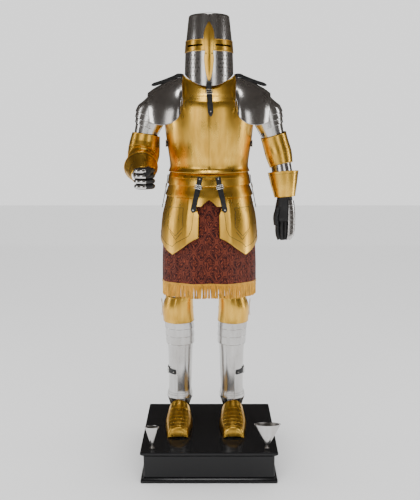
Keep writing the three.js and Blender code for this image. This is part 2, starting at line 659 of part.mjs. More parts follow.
/** Brocade skirt, a thin wall with soft folds, and the reach of the fringe below its hem. */
function makeSkirt() {
  const hem = (angle) => SKIRT[0].height + HEM_RISE * Math.max(Math.cos(angle), 0) ** 2;
  const skirt = ringFace(SKIRT, { low: hem, high: SKIRT[SKIRT.length - 1].height, off: foldAt });
  add('skirt', sheet(skirt, { around: 48, along: 4, wall: CLOTH, closed: true }), 'brocade');
  const belowHem = [
    { height: 600, wide: SKIRT[0].wide - 1, front: SKIRT[0].front - 3, back: SKIRT[0].back },
    { height: 760, wide: SKIRT[0].wide, front: SKIRT[0].front, back: SKIRT[0].back },
  ];
  const fringe = ringFace(belowHem, {
    low: (angle) => hem(angle) - FRINGE.drop, high: (angle) => hem(angle) - SEAM, off: foldAt,
  });
  add('fringe', sheet(fringe, { around: 48, along: 1, wall: FRINGE.thick, closed: true }), 'fringe');
}

/** Shoulder plates and the lames that follow them down the arm. */
function makeShoulders() {
  const plate = (u, v) => {
    const row = rowAt(PAULDRON, 'at', 1 - v);
    const turn = lerp(-1, 1, u);
    const edge = turn < 0 ? 'front' : 'back';
    const bend = Math.abs(turn) * Math.PI / 2;
    const fall = 1 - Math.cos(bend);
    return new THREE.Vector3(
      lerp(row.crestX, row[`${edge}X`], fall),
      row[`${edge}Y`] * Math.sin(bend),
      lerp(row.crestZ, row[`${edge}Z`], fall),
    );
  };
  addPair('pauldron', plate, { around: 14, along: 5, wall: PLATE }, 'steel');

  const stepAt = (at) => SHOULDER_LAMES.reduce((off, lame) => (at >= lame.low ? lame.off : off), SHOULDER_LAMES[0].off);
  const arm = tubeFace(UPPER_ARM, { from: -20, to: 200, low: 62, high: 150, off: (_, at) => stepAt(at) });
  const along = [62, 83, 84.5, 107, 108.5, 130, 150].map((at) => (at - 62) / (150 - 62));
  addPair('shoulder_lames', arm, { around: 10, along, wall: PLATE }, 'steel');
  const rerebrace = tubeFace(UPPER_ARM, { low: 0, high: 112 });
  addPair('rerebrace', rerebrace, { around: 14, along: 2, wall: PLATE, closed: true }, 'steel');
}

/** Elbow, forearm and cuff of both arms; the wearer's right one is bent forwards. */
function makeForearms() {
  for (const [letter, side] of SIDES) {
    const arm = side < 0 ? BENT_ARM : HANGING_ARM;
    const own = (table, options = {}) => {
      const face = tubeFace(table, options);
      return side < 0 ? mirrored(face) : face;
    };
    const tube = (along) => ({ around: 14, along, wall: PLATE, closed: true });
    add(`couter_${letter}`, sheet(own(arm.couter), tube(side < 0 ? 6 : 3)), 'brass');
    add(`vambrace_${letter}`, sheet(own(arm.forearm), tube(2)), 'steel');
    add(`cuff_${letter}`, sheet(own(arm.cuff), tube(2)), 'brass');
  }
}

/** Gloves: a fist round an empty grip on the wearer's right, an open hand on the left. */
function makeHands() {
  const { x, y, height, tall, outer, hollow, long, gap, turn, plate } = FIST;
  const ring = (radius, from, to, count) => steps(count).map((t) => {
    const angle = lerp(from, to, t);
    return new THREE.Vector2(radius * Math.cos(angle) + Math.sign(Math.cos(angle)) * long / 2, radius * Math.sin(angle));
  });
  const open = Math.asin(gap / outer);
  const curl = new THREE.Shape([
    ...ring(outer, open, 2 * Math.PI - open, 20),
    ...ring(hollow, 2 * Math.PI - 1.6 * open, 1.6 * open, 14),
  ]);
  const fist = new THREE.ExtrudeGeometry(curl, {
    depth: tall - 8, bevelEnabled: true, bevelThickness: 4, bevelSize: 4, bevelSegments: 1, bevelOffset: -4,
  }).translate(0, 0, -(tall - 8) / 2).rotateZ(turn);
  const forearm = BENT_ARM.forearm[0];
  const toArm = new THREE.Vector3(x - forearm.x, forearm.y - y, forearm.height - height);
  const wrist = new THREE.CylinderGeometry(23, 25, 40, 12)
    .applyQuaternion(new THREE.Quaternion().setFromUnitVectors(new THREE.Vector3(0, 1, 0), toArm.clone().normalize()))
    .translate(...toArm.multiplyScalar(0.74).toArray());
  const glove = add('glove_R', join([fist, wrist]), 'leather');
  glove.position.set(-x, y, height);

  const scale = (u, v) => {
    const angle = lerp(0.68 * Math.PI, 1.42 * Math.PI, u);
    const radius = outer + plate + 2 * SEAM;
    return new THREE.Vector3(
      radius * Math.cos(angle) + Math.sign(Math.cos(angle)) * long / 2,
      radius * Math.sin(angle),
      lerp(-tall / 2 + 3, tall / 2 - 3, v),
    );
  };
  const scales = add('hand_scales_R', sheet(scale, { around: 12, along: 1, wall: plate }), 'steel');
  scales.position.copy(glove.position);
  scales.rotation.z = turn;

  const hand = tubeFace(OPEN_HAND, {});
  add('glove_L', sheet(hand, { around: 12, along: 4, wall: 2, closed: true }), 'leather');
  const back = tubeFace(OPEN_HAND, { from: 20, to: 160, low: 4, high: 172, off: plate + 4 });
  add('hand_scales_L', sheet(back, { around: 6, along: 4, wall: plate }), 'steel');
}

/** Thigh, knee, shin and foot plates of both legs. */
function makeLegs() {
  const tube = (along) => ({ around: 14, along, wall: PLATE, closed: true });
  addPair('cuisse', ringFace(LEG, { low: CUISSE.low, high: CUISSE.high }), tube(3), 'steel', LEGS_X);

  const middle = (POLEYN.low + POLEYN.high) / 2;
  const boss = (angle, height) => {
    const away = (height - middle) / (POLEYN.high - POLEYN.low) * 2;
    return POLEYN.off + POLEYN.boss * Math.max(Math.cos(angle), 0) ** 3 * Math.max(1 - away * away, 0);
  };
  const poleyn = ringFace(LEG, { from: POLEYN.from, to: POLEYN.to, low: POLEYN.low, high: POLEYN.high, off: boss });
  addPair('poleyn', poleyn, { around: 12, along: 4, wall: PLATE }, 'brass', LEGS_X);

  const { low, high, steps: lames, lip } = KNEE_LAMES;
  const lameOff = (_, height) => lip * (1 - (((height - low) / (high - low) * lames) % 1)) + 2.4;
  const knee = ringFace(LEG, { from: -130, to: 130, low, high: high - 1e-3, off: lameOff });
  const notches = [0, 0.32, 0.3334, 0.65, 0.6667, 0.99];
  addPair('knee_lames', knee, { around: 12, along: notches, wall: PLATE }, 'steel', LEGS_X);

  const greaveLow = (angle) => lerp(GREAVE.low, GREAVE.heel, clamp((-Math.cos(angle) - 0.08) / 0.3, 0, 1));
  const greave = ringFace(LEG, { low: greaveLow, high: GREAVE.high });
  addPair('greave', greave, tube(4), 'steel', LEGS_X);

  const garter = ringFace(LEG, { from: 20, to: 150, low: 246, high: 268, off: LEATHER + 1 });
  addPair('greave_strap', garter, { around: 7, along: 1, wall: LEATHER - 0.6 }, 'leather', LEGS_X);

  const sabaton = (u, v) => {
    const row = rowAt(SABATON, 'at', 1 - v);
    const turn = lerp(-1, 1, u) * Math.PI / 2;
    const rise = Math.cos(turn) ** 0.8;
    return new THREE.Vector3(
      LEG[0].x + row.wide * Math.sign(Math.sin(turn)) * Math.abs(Math.sin(turn)) ** 0.8,
      lerp(row.base, row.y, rise),
      SEAM + 1 + (row.ridge - 1) * rise,
    );
  };
  addPair('sabaton', sabaton, { around: 10, along: [0, 0.04, 0.12, 0.3, 0.55, 1], wall: PLATE }, 'brass', LEGS_X);
}

makePlinth();
makeTipRests();
makeStand();
makeHelm();
makeHelmStrap();
makeCuirass();
makeBodyStraps();
makeFauld();
makeTassets();
makeHipStraps();
makeSkirt();
makeShoulders();
makeForearms();
makeHands();
makeLegs();

export default group;
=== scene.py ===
"""A full suit of plate armour on a black display plinth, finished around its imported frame.

Sizes in the section tables are millimetres, heights measured from the plinth's top.
The figure faces -Y, with the wearer's left hand towards +X. Meshes are written in metres.
"""

import math

import bmesh
import bpy
import numpy as np
from bpy.props import FloatProperty, FloatVectorProperty, IntProperty, PointerProperty
from bpy.types import Operator, Panel, PropertyGroup
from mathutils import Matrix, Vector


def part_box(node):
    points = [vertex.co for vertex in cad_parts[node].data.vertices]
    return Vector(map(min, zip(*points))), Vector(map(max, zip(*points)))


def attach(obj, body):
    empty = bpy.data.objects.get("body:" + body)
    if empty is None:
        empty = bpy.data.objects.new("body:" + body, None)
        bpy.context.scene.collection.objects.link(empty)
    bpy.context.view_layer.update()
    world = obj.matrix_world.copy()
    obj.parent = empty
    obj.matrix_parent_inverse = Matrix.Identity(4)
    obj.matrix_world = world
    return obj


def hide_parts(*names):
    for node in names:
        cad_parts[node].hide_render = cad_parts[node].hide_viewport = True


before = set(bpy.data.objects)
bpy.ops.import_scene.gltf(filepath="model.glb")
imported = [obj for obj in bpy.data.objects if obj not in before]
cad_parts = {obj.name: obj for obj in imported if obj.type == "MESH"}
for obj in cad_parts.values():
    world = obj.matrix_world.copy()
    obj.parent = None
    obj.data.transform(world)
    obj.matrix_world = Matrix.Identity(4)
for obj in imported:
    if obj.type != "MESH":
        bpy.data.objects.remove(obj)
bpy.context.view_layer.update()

bl_info = {
    "name": "Suit of plate armour",
    "version": (1, 0, 0),
    "blender": (4, 5, 0),
    "location": "View3D > Sidebar > Armour",
    "description": "Builds the plates, straps, skirt and plinth of a suit of plate armour",
    "category": "Object",
}

MM = 0.001
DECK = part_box("plinth_top")[1].z
HEAVY = 2.0                       # sheet of the helm and breast
PLATE = 1.5                       # all other sheet
CLOTH = 2.5
LEGS_X = -15.0                    # the legs are centred a little to the wearer's right
SIDES = (("R", -1), ("L", 1))
ALL_ROUND = ("low", "high", "start", "end")


# ---------------------------------------------------------------- section tables

class Table:
    """Rows with named columns; the first column is the key that the others run along."""

    def __init__(self, names, *rows):
        self.names = names.split()
        self.columns = dict(zip(self.names, np.array(rows, float).T))
        self.key = self.columns[self.names[0]]

    def at(self, value):
        """Each column on a cubic between rows, with the slope at a row that of its neighbours' line."""
        key = self.key
        value = np.clip(value, key[0], key[-1])
        i = np.clip(np.searchsorted(key, value, side="right") - 1, 0, len(key) - 2)
        before, after = np.maximum(i - 1, 0), np.minimum(i + 2, len(key) - 1)
        span = key[i + 1] - key[i]
        t = (value - key[i]) / span
        found = {}
        for name, column in self.columns.items():
            slope_a = (column[i + 1] - column[before]) / (key[i + 1] - key[before]) * span
            slope_b = (column[after] - column[i]) / (key[after] - key[i]) * span
            found[name] = (
                (2 * t**3 - 3 * t**2 + 1) * column[i] + (t**3 - 2 * t**2 + t) * slope_a
                + (3 * t**2 - 2 * t**3) * column[i + 1] + (t**3 - t**2) * slope_b
            )
        return found

    def line(self, value, name):
        """One column on straight lines between its rows."""
        return np.interp(value, self.key, self.columns[name])


RINGS = "height wide front back"  # columns of a table of egg-shaped rings
TUBE = "at x y height wide deep"  # columns of a bent centre line with its half-sizes
TORSO = Table(
    RINGS,
    (1197, 174, 146, 122),
    (1214, 168, 134, 112),
    (1265, 173, 143, 114),
    (1325, 182, 156, 122),
    (1385, 188, 166, 130),
    (1435, 190, 168, 136),
    (1480, 186, 158, 138),
    (1506, 176, 138, 134),
    (1550, 148, 112, 116),
    (1592, 126, 94, 94),
)
TORSO_EDGE = Table(
    "height breast back",
    (1197, 93, 91),
    (1375, 93, 91),
    (1430, 62, 66),
    (1470, 47, 56),
    (1520, 46, 56),
    (1560, 51, 54),
    (1592, 58, 58),
)
HELM = Table(
    RINGS,
    (1540, 102, 128, 120),
    (1600, 102, 126, 120),
    (1690, 99, 121, 116),
    (1728, 96, 117, 113),
    (1780, 90, 106, 103),
    (1832, 84, 94, 92),
)
SKULL = Table(
    "at height wide front back",
    (0.00, 1685, 99.2, 121.3, 116.2),
    (0.16, 1713, 97.3, 118.6, 114.2),
    (0.26, 1730, 95.8, 116.7, 112.8),
    (0.50, 1780, 90, 106, 103),
    (0.74, 1822, 85.1, 96, 93.7),
    (0.78, 1828, 84, 94.3, 92.2),
    (0.81, 1831, 81, 91, 89),
    (0.84, 1832, 77, 87, 85),
    (1.00, 1833, 0.05, 0.05, 0.05),
)
HELM_LOW, HELM_CHIN, HELM_NAPE = 1600, 54, 20
FACE_TURN = 92                    # degrees that the face plate reaches round each side
SIGHT, SIGHT_GAP = 1706, 14
BAND = {"low": 1685, "high": 1728, "thick": 1.5}
NOSE_BAR = Table(
    "height half",
    (1566, 2.5),
    (1590, 11),
    (1625, 17),
    (1655, 19),
    (1684, 16),
    (1706, 19),
    (1735, 21),
    (1765, 17),
    (1795, 2.5),
)
FAULD_UPPER = Table(
    RINGS,
    (1143, 179, 158, 134),
    (1175, 174, 148, 126),
    (1204, 163, 130, 108),
)
FAULD_LOWER = Table(
    RINGS,
    (1060, 195, 182, 154),
    (1096, 189, 174, 147),
    (1125, 179, 160, 135),
    (1156, 171, 148, 124),
)
WRAP = 97                         # degrees that the hip lames reach round each side
APRON = {"half": 58, "step": 3, "low": 1062, "arch": 33, "peak": 1090, "edge": 1096}
CULET = Table(
    RINGS,
    (1060, 186, 160, 158),
    (1110, 178, 154, 144),
    (1150, 170, 146, 134),
    (1204, 157, 128, 108),
)
TASSET = Table(
    RINGS,
    (845, 214, 184, 168),
    (915, 213, 184, 168),
    (1000, 205, 180, 160),
    (1060, 191, 174, 150),
    (1110, 180, 156, 134),
)
TASSET_EDGE = Table(
    "angle low high",
    (12.5, 931, 1024),
    (18.5, 920, 1072),
    (22, 912, 1106),
    (34, 880, 1108),
    (47, 850, 1108),
    (58, 866, 1108),
    (76, 894, 1108),
    (91, 914, 1106),
)
STRAP_COVER = Table(
    RINGS,
    (1030, 207, 189, 168),
    (1060, 201, 187, 162),
    (1096, 194, 179, 154),
    (1143, 184, 163, 140),
    (1185, 178, 152, 134),
)
SKIRT = Table(
    RINGS,
    (719, 206, 169, 174),
    (800, 205, 169, 168),
    (900, 201, 168, 160),
    (1000, 192, 164, 148),
    (1070, 178, 152, 134),
    (1126, 163, 138, 118),
)
HEM, HEM_RISE, WAIST = 719, 12, 1126
FRINGE_DROP = 66
FOLDS = Table(
    "angle depth width",
    (-138, 5, 14),
    (-104, -6, 11),
    (-68, 4, 13),
    (-38, -5, 9),
    (-17, 4, 12),
    (2, -9, 7),
    (24, 5, 11),
    (45, -4, 10),
    (76, 3, 12),
    (108, -5, 12),
    (141, 4, 12),
    (172, -7, 10),
)
PAULDRON = Table(
    "at crestX crestZ frontX frontY frontZ backX backY backZ",
    (0.00, 113, 1588, 106, -132, 1476, 112, 138, 1470),
    (0.20, 138, 1582, 118, -158, 1430, 120, 150, 1426),
    (0.42, 170, 1572, 147, -164, 1402, 148, 154, 1400),
    (0.64, 203, 1557, 184, -154, 1392, 186, 148, 1390),
    (0.84, 235, 1540, 219, -134, 1394, 220, 132, 1392),
    (1.00, 257, 1524, 243, -112, 1403, 244, 112, 1402),
)
UPPER_ARM = Table(
    TUBE,
    (0, 280, 4, 1326, 45, 47),
    (50, 264, 2, 1372, 53, 54),
    (105, 246, 0, 1422, 61, 62),
    (160, 230, 0, 1474, 60, 66),
)
SHOULDER_LAMES = Table("low high off", (62, 92, 3), (84, 116, 6), (108, 150, 9))
ARM_TOP = Table(
    TUBE,
    (50, 264, 2, 1372, 53, 54),
    (105, 246, 0, 1422, 61, 62),
    (150, 232, 0, 1464, 55, 66),
    (196, 226, 0, 1506, 24, 60),
)
HANGING_ARM = {
    "couter": Table(
        TUBE,
        (0, 311, -4, 1222, 51, 53),
        (45, 300, 3, 1266, 57, 60),
        (90, 287, 5, 1309, 56, 58),
        (128, 276, 3, 1346, 56, 57),
    ),
    "forearm": Table(
        TUBE,
        (0, 326, -26, 1104, 36, 33),
        (60, 319, -18, 1164, 43, 44),
        (125, 309, -5, 1228, 43, 45),
    ),
    "cuff": Table(
        TUBE,
        (0, 327, -28, 1086, 45, 40),
        (50, 323, -23, 1136, 56, 54),
        (105, 319, -16, 1190, 66, 66),
    ),
}
BENT_ARM = {
    "couter": Table(
        TUBE,
        (0, 284, -86, 1232, 53, 50),
        (40, 283, -50, 1240, 62, 58),
        (85, 281, -14, 1264, 68, 64),
        (125, 277, 2, 1306, 66, 62),
        (168, 270, 5, 1348, 60, 58),
    ),
    "forearm": Table(
        TUBE,
        (0, 271, -216, 1196, 33, 30),
        (60, 276, -160, 1212, 41, 38),
        (130, 282, -92, 1229, 47, 44),
    ),
    "cuff": Table(
        TUBE,
        (0, 269, -222, 1192, 42, 38),
        (55, 275, -168, 1206, 56, 52),
        (105, 282, -120, 1219, 70, 66),
    ),
}
OPEN_HAND = Table(
    TUBE,
    (0, 323, -62, 898, 22, 10),
    (26, 323, -58, 924, 38, 15),
    (80, 323, -50, 978, 43, 17),
    (130, 325, -38, 1028, 41, 20),
    (196, 327, -28, 1092, 31, 25),
)
FIST = {
    "x": -252, "y": -272, "height": 1186, "finger": 10.4, "curl": 25.2, "apart": 20.6,
    "long": 12, "turn": 0.6,
}
LEG = Table(
    "height x y wide front back",
    (10, 126, 92, 40, 46, 58),
    (70, 126, 92, 47, 50, 56),
    (118, 125, 92, 60, 54, 58),
    (160, 123, 90, 53, 50, 55),
    (270, 121, 84, 55, 58, 70),
    (360, 120, 76, 57, 60, 72),
    (412, 120, 70, 61, 60, 64),
    (470, 122, 62, 62, 60, 60),
    (566, 128, 50, 62, 62, 60),
    (640, 118, 40, 53, 58, 52),
    (720, 110, 34, 55, 62, 60),
    (800, 101, 28, 60, 66, 66),
    (850, 98, 25, 62, 68, 68),
)
PLINTH = {"half": (300, 250), "corner": 6.0, "tall": 145}
CUISSE = {"low": 612, "high": 846}
POLEYN = {"turn": 118, "low": 506, "high": 628, "off": 8, "boss": 9}
KNEE_LAMES = {"turn": 130, "edges": (396, 434.7, 473.4), "tall": 39}
GREAVE = {"low": 120, "heel": 12, "high": 404}
SABATON = Table(
    "at y wide ridge base",
    (0.00, 36, 54, 116, 92),
    (0.20, 12, 58, 96, 62),
    (0.45, -26, 62, 75, 20),
    (0.70, -66, 58, 59, -34),
    (0.88, -97, 50, 51, -88),
    (0.96, -112, 46, 42, -110),
    (1.00, -116, 45, 8, -116),
)


# ---------------------------------------------------------------- surfaces

def lerp(a, b, t):
    """Straight blend from a to b."""
    return a + (b - a) * t


def smooth(low, high, value):
    """Soft step from 0 at low to 1 at high."""
    t = np.clip((value - low) / (high - low), 0, 1)
    return t * t * (3 - 2 * t)


def bump(value, width):
    """Bell curve: e to the minus square of value over width."""
    return np.exp(-((value / width) ** 2))


def unit(vectors):
    """Each vector over its own length."""
    return vectors / np.maximum(np.linalg.norm(vectors, axis=-1, keepdims=True), 1e-9)


def stacked(x, y, z):
    """Three coordinates, broadcast together, as points."""
    return np.stack(np.broadcast_arrays(x, y, z), -1)


def edge_at(limit, angle):
    """A limit that may be a number or a function of the angle."""
    return limit(angle) if callable(limit) else limit


def ring(row, angle, off=0.0):
    """Egg-shaped ring: half-width times sine of the angle across, reach times cosine of it forwards."""
    reach = np.where(np.cos(angle) > 0, row["front"], row["back"])
    return stacked(
        row.get("x", 0.0) + (row["wide"] + off) * np.sin(angle),
        row.get("y", 0.0) - (reach + off) * np.cos(angle),
        row["height"],
    )


def ring_face(table, start=-180.0, end=180.0, low=0.0, high=1.0, off=0.0):
    """Surface over a table of rings: u turns the angle from start to end, v climbs from low to high."""
    def face(u, v):
        angle = np.radians(lerp(start, end, u))
        height = lerp(edge_at(low, angle), edge_at(high, angle), v)
        lift = off(angle, height) if callable(off) else off
        return ring(table.at(height), angle, lift)
    return face


def tube_face(table, start=-180.0, end=180.0, low=None, high=None, off=0.0):
    """Surface round a bent centre line: rings square to the line, u round it and v along it."""
    first, last = table.key[0], table.key[-1]
    low = first if low is None else low
    high = last if high is None else high

    def centre(at):
        row = table.at(at)
        return stacked(row["x"], row["y"], row["height"])

    def face(u, v):
        angle = np.radians(lerp(start, end, u))
        at = lerp(edge_at(low, angle), edge_at(high, angle), v)
        angle, at = np.broadcast_arrays(angle, at)
        row = table.at(at)
        along = unit(centre(np.minimum(at + 1, last)) - centre(np.maximum(at - 1, first)))
        across = unit(np.array([1.0, 0, 0]) - along * along[..., :1])
        deep = np.cross(along, across)
        lift = off(angle, at) if callable(off) else off
        return (
            centre(at)
            + across * ((row["wide"] + lift) * np.sin(angle))[..., None]
            - deep * ((row["deep"] + lift) * np.cos(angle))[..., None]
        )
    return face


def mirrored(face):
    """The same surface on the wearer's right."""
    return lambda u, v: face(1 - u, v) * np.array([-1.0, 1, 1])


def shifted(face, x):
    """The same surface moved across."""
    return lambda u, v: face(u, v) + np.array([x, 0.0, 0.0])


def spread(count):
    """Even values from 0 to 1."""
    return np.linspace(0, 1, count + 1)


def grid(face, around, along):
    """Points of a surface at every pair of u and v."""
    u = spread(around) if np.isscalar(around) else np.asarray(around, float)
    v = spread(along) if np.isscalar(along) else np.asarray(along, float)
    return face(u[:, None], v[None, :])


def on(face, u, v, lift=0.0):
    """Points of a surface moved out by lift, and the outward direction at each."""
    u, v = np.broadcast_arrays(np.asarray(u, float), np.asarray(v, float))
    step = 1e-3
    across = face(u + step, v) - face(u - step, v)
    along = face(u, v + step) - face(u, v - step)
    out = unit(np.cross(across, along))
    return face(u, v) + out * np.asarray(lift)[..., None], out


def lifted(face, distance):
    """The surface moved outwards along its own normal."""
    return lambda u, v: on(face, u, v, distance)[0]


# ---------------------------------------------------------------- gathering a piece

def quads_of(index):
    """Faces between neighbouring columns and rows of a grid of point numbers."""
    corners = (index[:-1, :-1], index[1:, :-1], index[1:, 1:], index[:-1, 1:])
    return np.stack(corners, -1).reshape(-1, 4)


def rim(outer, inner):
    """Faces that close the wall between two matching edges."""
    return np.stack((outer[1:], outer[:-1], inner[:-1], inner[1:]), -1)


class Form:
    """Points and faces of one piece, each face with the number of its finish."""

    def __init__(self):
        self.points, self.faces, self.finish, self.uvs = [], [], [], []
        self.count, self.current = 0, 0

    def use(self, number):
        """Faces added from here on take this finish."""
        self.current = number
        return self

    def add(self, points, faces, uv=None):
        """Adds points in millimetres and four-cornered faces that number them."""
        points = np.asarray(points, float).reshape(-1, 3)
        self.points.append(points)
        self.faces.append(np.asarray(faces) + self.count)
        self.finish.append(np.full(len(faces), self.current))
        self.uvs.append(np.zeros((len(points), 2)) if uv is None else uv.reshape(-1, 2))
        self.count += len(points)
        return self

    def sheet(self, points, wall, closed=False, uv=None, inside_finish=None):
        """A wall: the grid is its outside, and its inside, in its own finish when one is given, lies one
        thickness in.
        """
        points = np.asarray(points, float)
        round_ = np.gradient(points, axis=0)
        if closed:
            round_[0] = round_[-1] = points[1] - points[-2]
        inside = points - wall * unit(np.cross(round_, np.gradient(points, axis=1)))
        count, rows = points.shape[:2]
        outer = np.arange(count * rows).reshape(count, rows)
        inner = outer + count * rows
        faces = [quads_of(outer), quads_of(inner)[:, ::-1]]
        faces += [rim(outer[:, 0], inner[:, 0]), rim(outer[::-1, -1], inner[::-1, -1])]
        if not closed:
            faces += [rim(outer[0, ::-1], inner[0, ::-1]), rim(outer[-1], inner[-1])]
        both = None if uv is None else np.concatenate([uv.reshape(-1, 2)] * 2)
        self.add(np.concatenate([points.reshape(-1, 3), inside.reshape(-1, 3)]), np.vstack(faces), both)
        if inside_finish is not None:
            self.finish[-1][len(faces[0]):2 * len(faces[0])] = inside_finish
        return self

    def bead(self, path, radius, up=(0, 0, 1), closed=False, sides=8):
        """A round bar along a path: a circle carried along it, square to the path."""
        path = np.asarray(path, float)
        if closed:
            ahead = np.roll(path, -1, 0) - np.roll(path, 1, 0)
        else:
            ahead = np.gradient(path, axis=0)
        along = unit(ahead)
        side = unit(np.cross(np.broadcast_to(up, path.shape), along))
        high = np.cross(along, side)
        turn = np.linspace(0, 2 * np.pi, sides, endpoint=False)
        radius = np.broadcast_to(radius, len(path))[:, None, None]
        across, rise = np.cos(turn)[None, :, None], np.sin(turn)[None, :, None]
        circle = across * side[:, None] + rise * high[:, None]
        points = path[:, None] + radius * circle
        index = np.arange(len(path) * sides).reshape(len(path), sides)
        index = np.hstack([index, index[:, :1]])
        if closed:
            return self.add(points, quads_of(np.vstack([index, index[:1]]))[:, ::-1])
        ends = np.array([path[0], path[-1]])
        first, last = len(path) * sides, len(path) * sides + 1
        low = np.stack([index[0, :-1], index[0, 1:], *[np.full(sides, first)] * 2], -1)
        top = np.stack([index[-1, 1:], index[-1, :-1], *[np.full(sides, last)] * 2], -1)
        faces = np.vstack([quads_of(index)[:, ::-1], low[:, ::-1], top[:, ::-1]])
        return self.add(np.concatenate([points.reshape(-1, 3), ends]), faces)

    def domes(self, points, out, radius, tall=0.55, sides=10):
        """Rivet heads: rings that shrink as the cosine of a rising angle, each turned to face outwards."""
        points, out = np.atleast_2d(points), np.atleast_2d(out)
        rise = np.radians([0, 0, 35, 65, 90])
        sink = np.array([-0.35, 0, 0, 0, 0])
        turn = np.linspace(0, 2 * np.pi, sides, endpoint=False)
        helper = np.where(np.abs(out[:, 2:]) > 0.9, [[1.0, 0, 0]], [[0, 0, 1.0]])
        side = unit(np.cross(helper, out))
        high = np.cross(out, side)
        circle = np.cos(turn)[:, None, None] * side + np.sin(turn)[:, None, None] * high
        reach = np.maximum(np.cos(rise), 0.02)[:, None, None, None] * circle[None]
        lift = (tall * np.sin(rise) + sink)[:, None, None, None] * out
        heads = points + radius * (reach + lift)
        rings = len(rise)
        index = np.arange(rings * sides * len(points)).reshape(rings, sides, len(points))
        faces = [quads_of(np.hstack([index[..., k], index[:, :1, k]])) for k in range(len(points))]
        return self.add(heads, np.vstack(faces)[:, ::-1])

    def rolled(self, points, wall, radius, sides, closed=False):
        """Beads along the sides of a grid that are named low, high, start or end, half a wall in."""
        up = unit(np.cross(np.gradient(points, axis=0), np.gradient(points, axis=1)))
        edges = {"low": np.s_[:, 0], "high": np.s_[:, -1], "start": np.s_[0, :], "end": np.s_[-1, :]}
        for name in sides:
            path, out = points[edges[name]], up[edges[name]]
            loop = closed and name in ("low", "high")
            if loop:
                path, out = path[:-1], out[:-1]
            self.bead(path - out * wall / 2, radius, out, loop)
        return self

    def edged(self, face, around, along, wall, radius=1.6, closed=False, sides=(), inside_finish=None):
        """A wall with rolled edges along the named sides."""
        points = grid(face, around, along)
        self.sheet(points, wall, closed, inside_finish=inside_finish)
        return self.rolled(points, wall, radius, sides, closed)

    def make(self, name, finishes, nodes=(), slot=None, sharp=38.0, merge=0.02):
        """Puts the piece into a mesh, parents it to the root empty and hides the nodes that it stands for.
        """
        mesh = bpy.data.meshes.new(name)
        points = np.concatenate(self.points) * MM + np.array([0, 0, DECK])
        faces = np.vstack(self.faces)
        mesh.from_pydata(points.tolist(), [], faces.tolist())
        mesh.polygons.foreach_set("material_index", np.concatenate(self.finish).astype(np.int32))
        uv_points = np.concatenate(self.uvs)
        if uv_points.any():
            layer = mesh.uv_layers.new(name="cloth")
            corners = np.empty(len(mesh.loops), np.int32)
            mesh.loops.foreach_get("vertex_index", corners)
            layer.data.foreach_set("uv", uv_points[corners].astype(np.float32).ravel())
        shape = bmesh.new()
        shape.from_mesh(mesh)
        bmesh.ops.remove_doubles(shape, verts=shape.verts, dist=merge * MM)
        bmesh.ops.dissolve_degenerate(shape, edges=shape.edges, dist=merge * MM * 0.1)
        shape.to_mesh(mesh)
        shape.free()
        mesh.set_sharp_from_angle(angle=math.radians(sharp))
        mesh.polygons.foreach_set("use_smooth", np.ones(len(mesh.polygons), bool))
        for finish in finishes:
            mesh.materials.append(finish)
        piece = bpy.data.objects.new(name, mesh)
        bpy.context.scene.collection.objects.link(piece)
        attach(piece, "root")
        if nodes:
            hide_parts(*nodes)
        return piece

    def cover(self, node, slot, *extra, **settings):
        """Makes the piece that stands for one node, in the slot's finish and the extra ones."""
        return self.make(f"{node}_finished", finishes(slot, *extra), [node], slot, **settings)


def carve(piece, cutters):
    """Takes the cutters' shape out of a piece with a boolean, and keeps the result as its mesh."""
    tool_mesh = bpy.data.meshes.new("cutters")
    points = np.concatenate(cutters.points) * MM + np.array([0, 0, DECK])
    tool_mesh.from_pydata(points.tolist(), [], np.vstack(cutters.faces).tolist())
    shape = bmesh.new()
    shape.from_mesh(tool_mesh)
    bmesh.ops.remove_doubles(shape, verts=shape.verts, dist=1e-5)
    bmesh.ops.recalc_face_normals(shape, faces=shape.faces)
    shape.to_mesh(tool_mesh)
    shape.free()
    tool = bpy.data.objects.new("cutters", tool_mesh)
    bpy.context.scene.collection.objects.link(tool)
    cut = piece.modifiers.new("holes", "BOOLEAN")
    cut.operation, cut.solver, cut.object = "DIFFERENCE", "EXACT", tool
    bpy.context.view_layer.update()
    made = bpy.data.meshes.new_from_object(piece.evaluated_get(bpy.context.evaluated_depsgraph_get()))
    piece.modifiers.clear()
    old = piece.data
    piece.data = made
    made.name = old.name
    made.set_sharp_from_angle(angle=math.radians(38))
    bpy.data.meshes.remove(old)
    bpy.data.objects.remove(tool)
    bpy.data.meshes.remove(tool_mesh)
    return piece


def drill(form, centres, out, radius, depth=14.0, sides=14):
    """Adds round bars through a wall at the centres, along the outward direction."""
    for centre, way in zip(np.atleast_2d(centres), np.atleast_2d(out)):
        path = centre + np.array([[-depth], [depth]]) * way
        helper = (0.0, 0.0, 1.0) if abs(way[2]) < 0.9 else (1.0, 0.0, 0.0)
        form.bead(path, radius, helper, sides=sides)
    return form


# ---------------------------------------------------------------- finishes

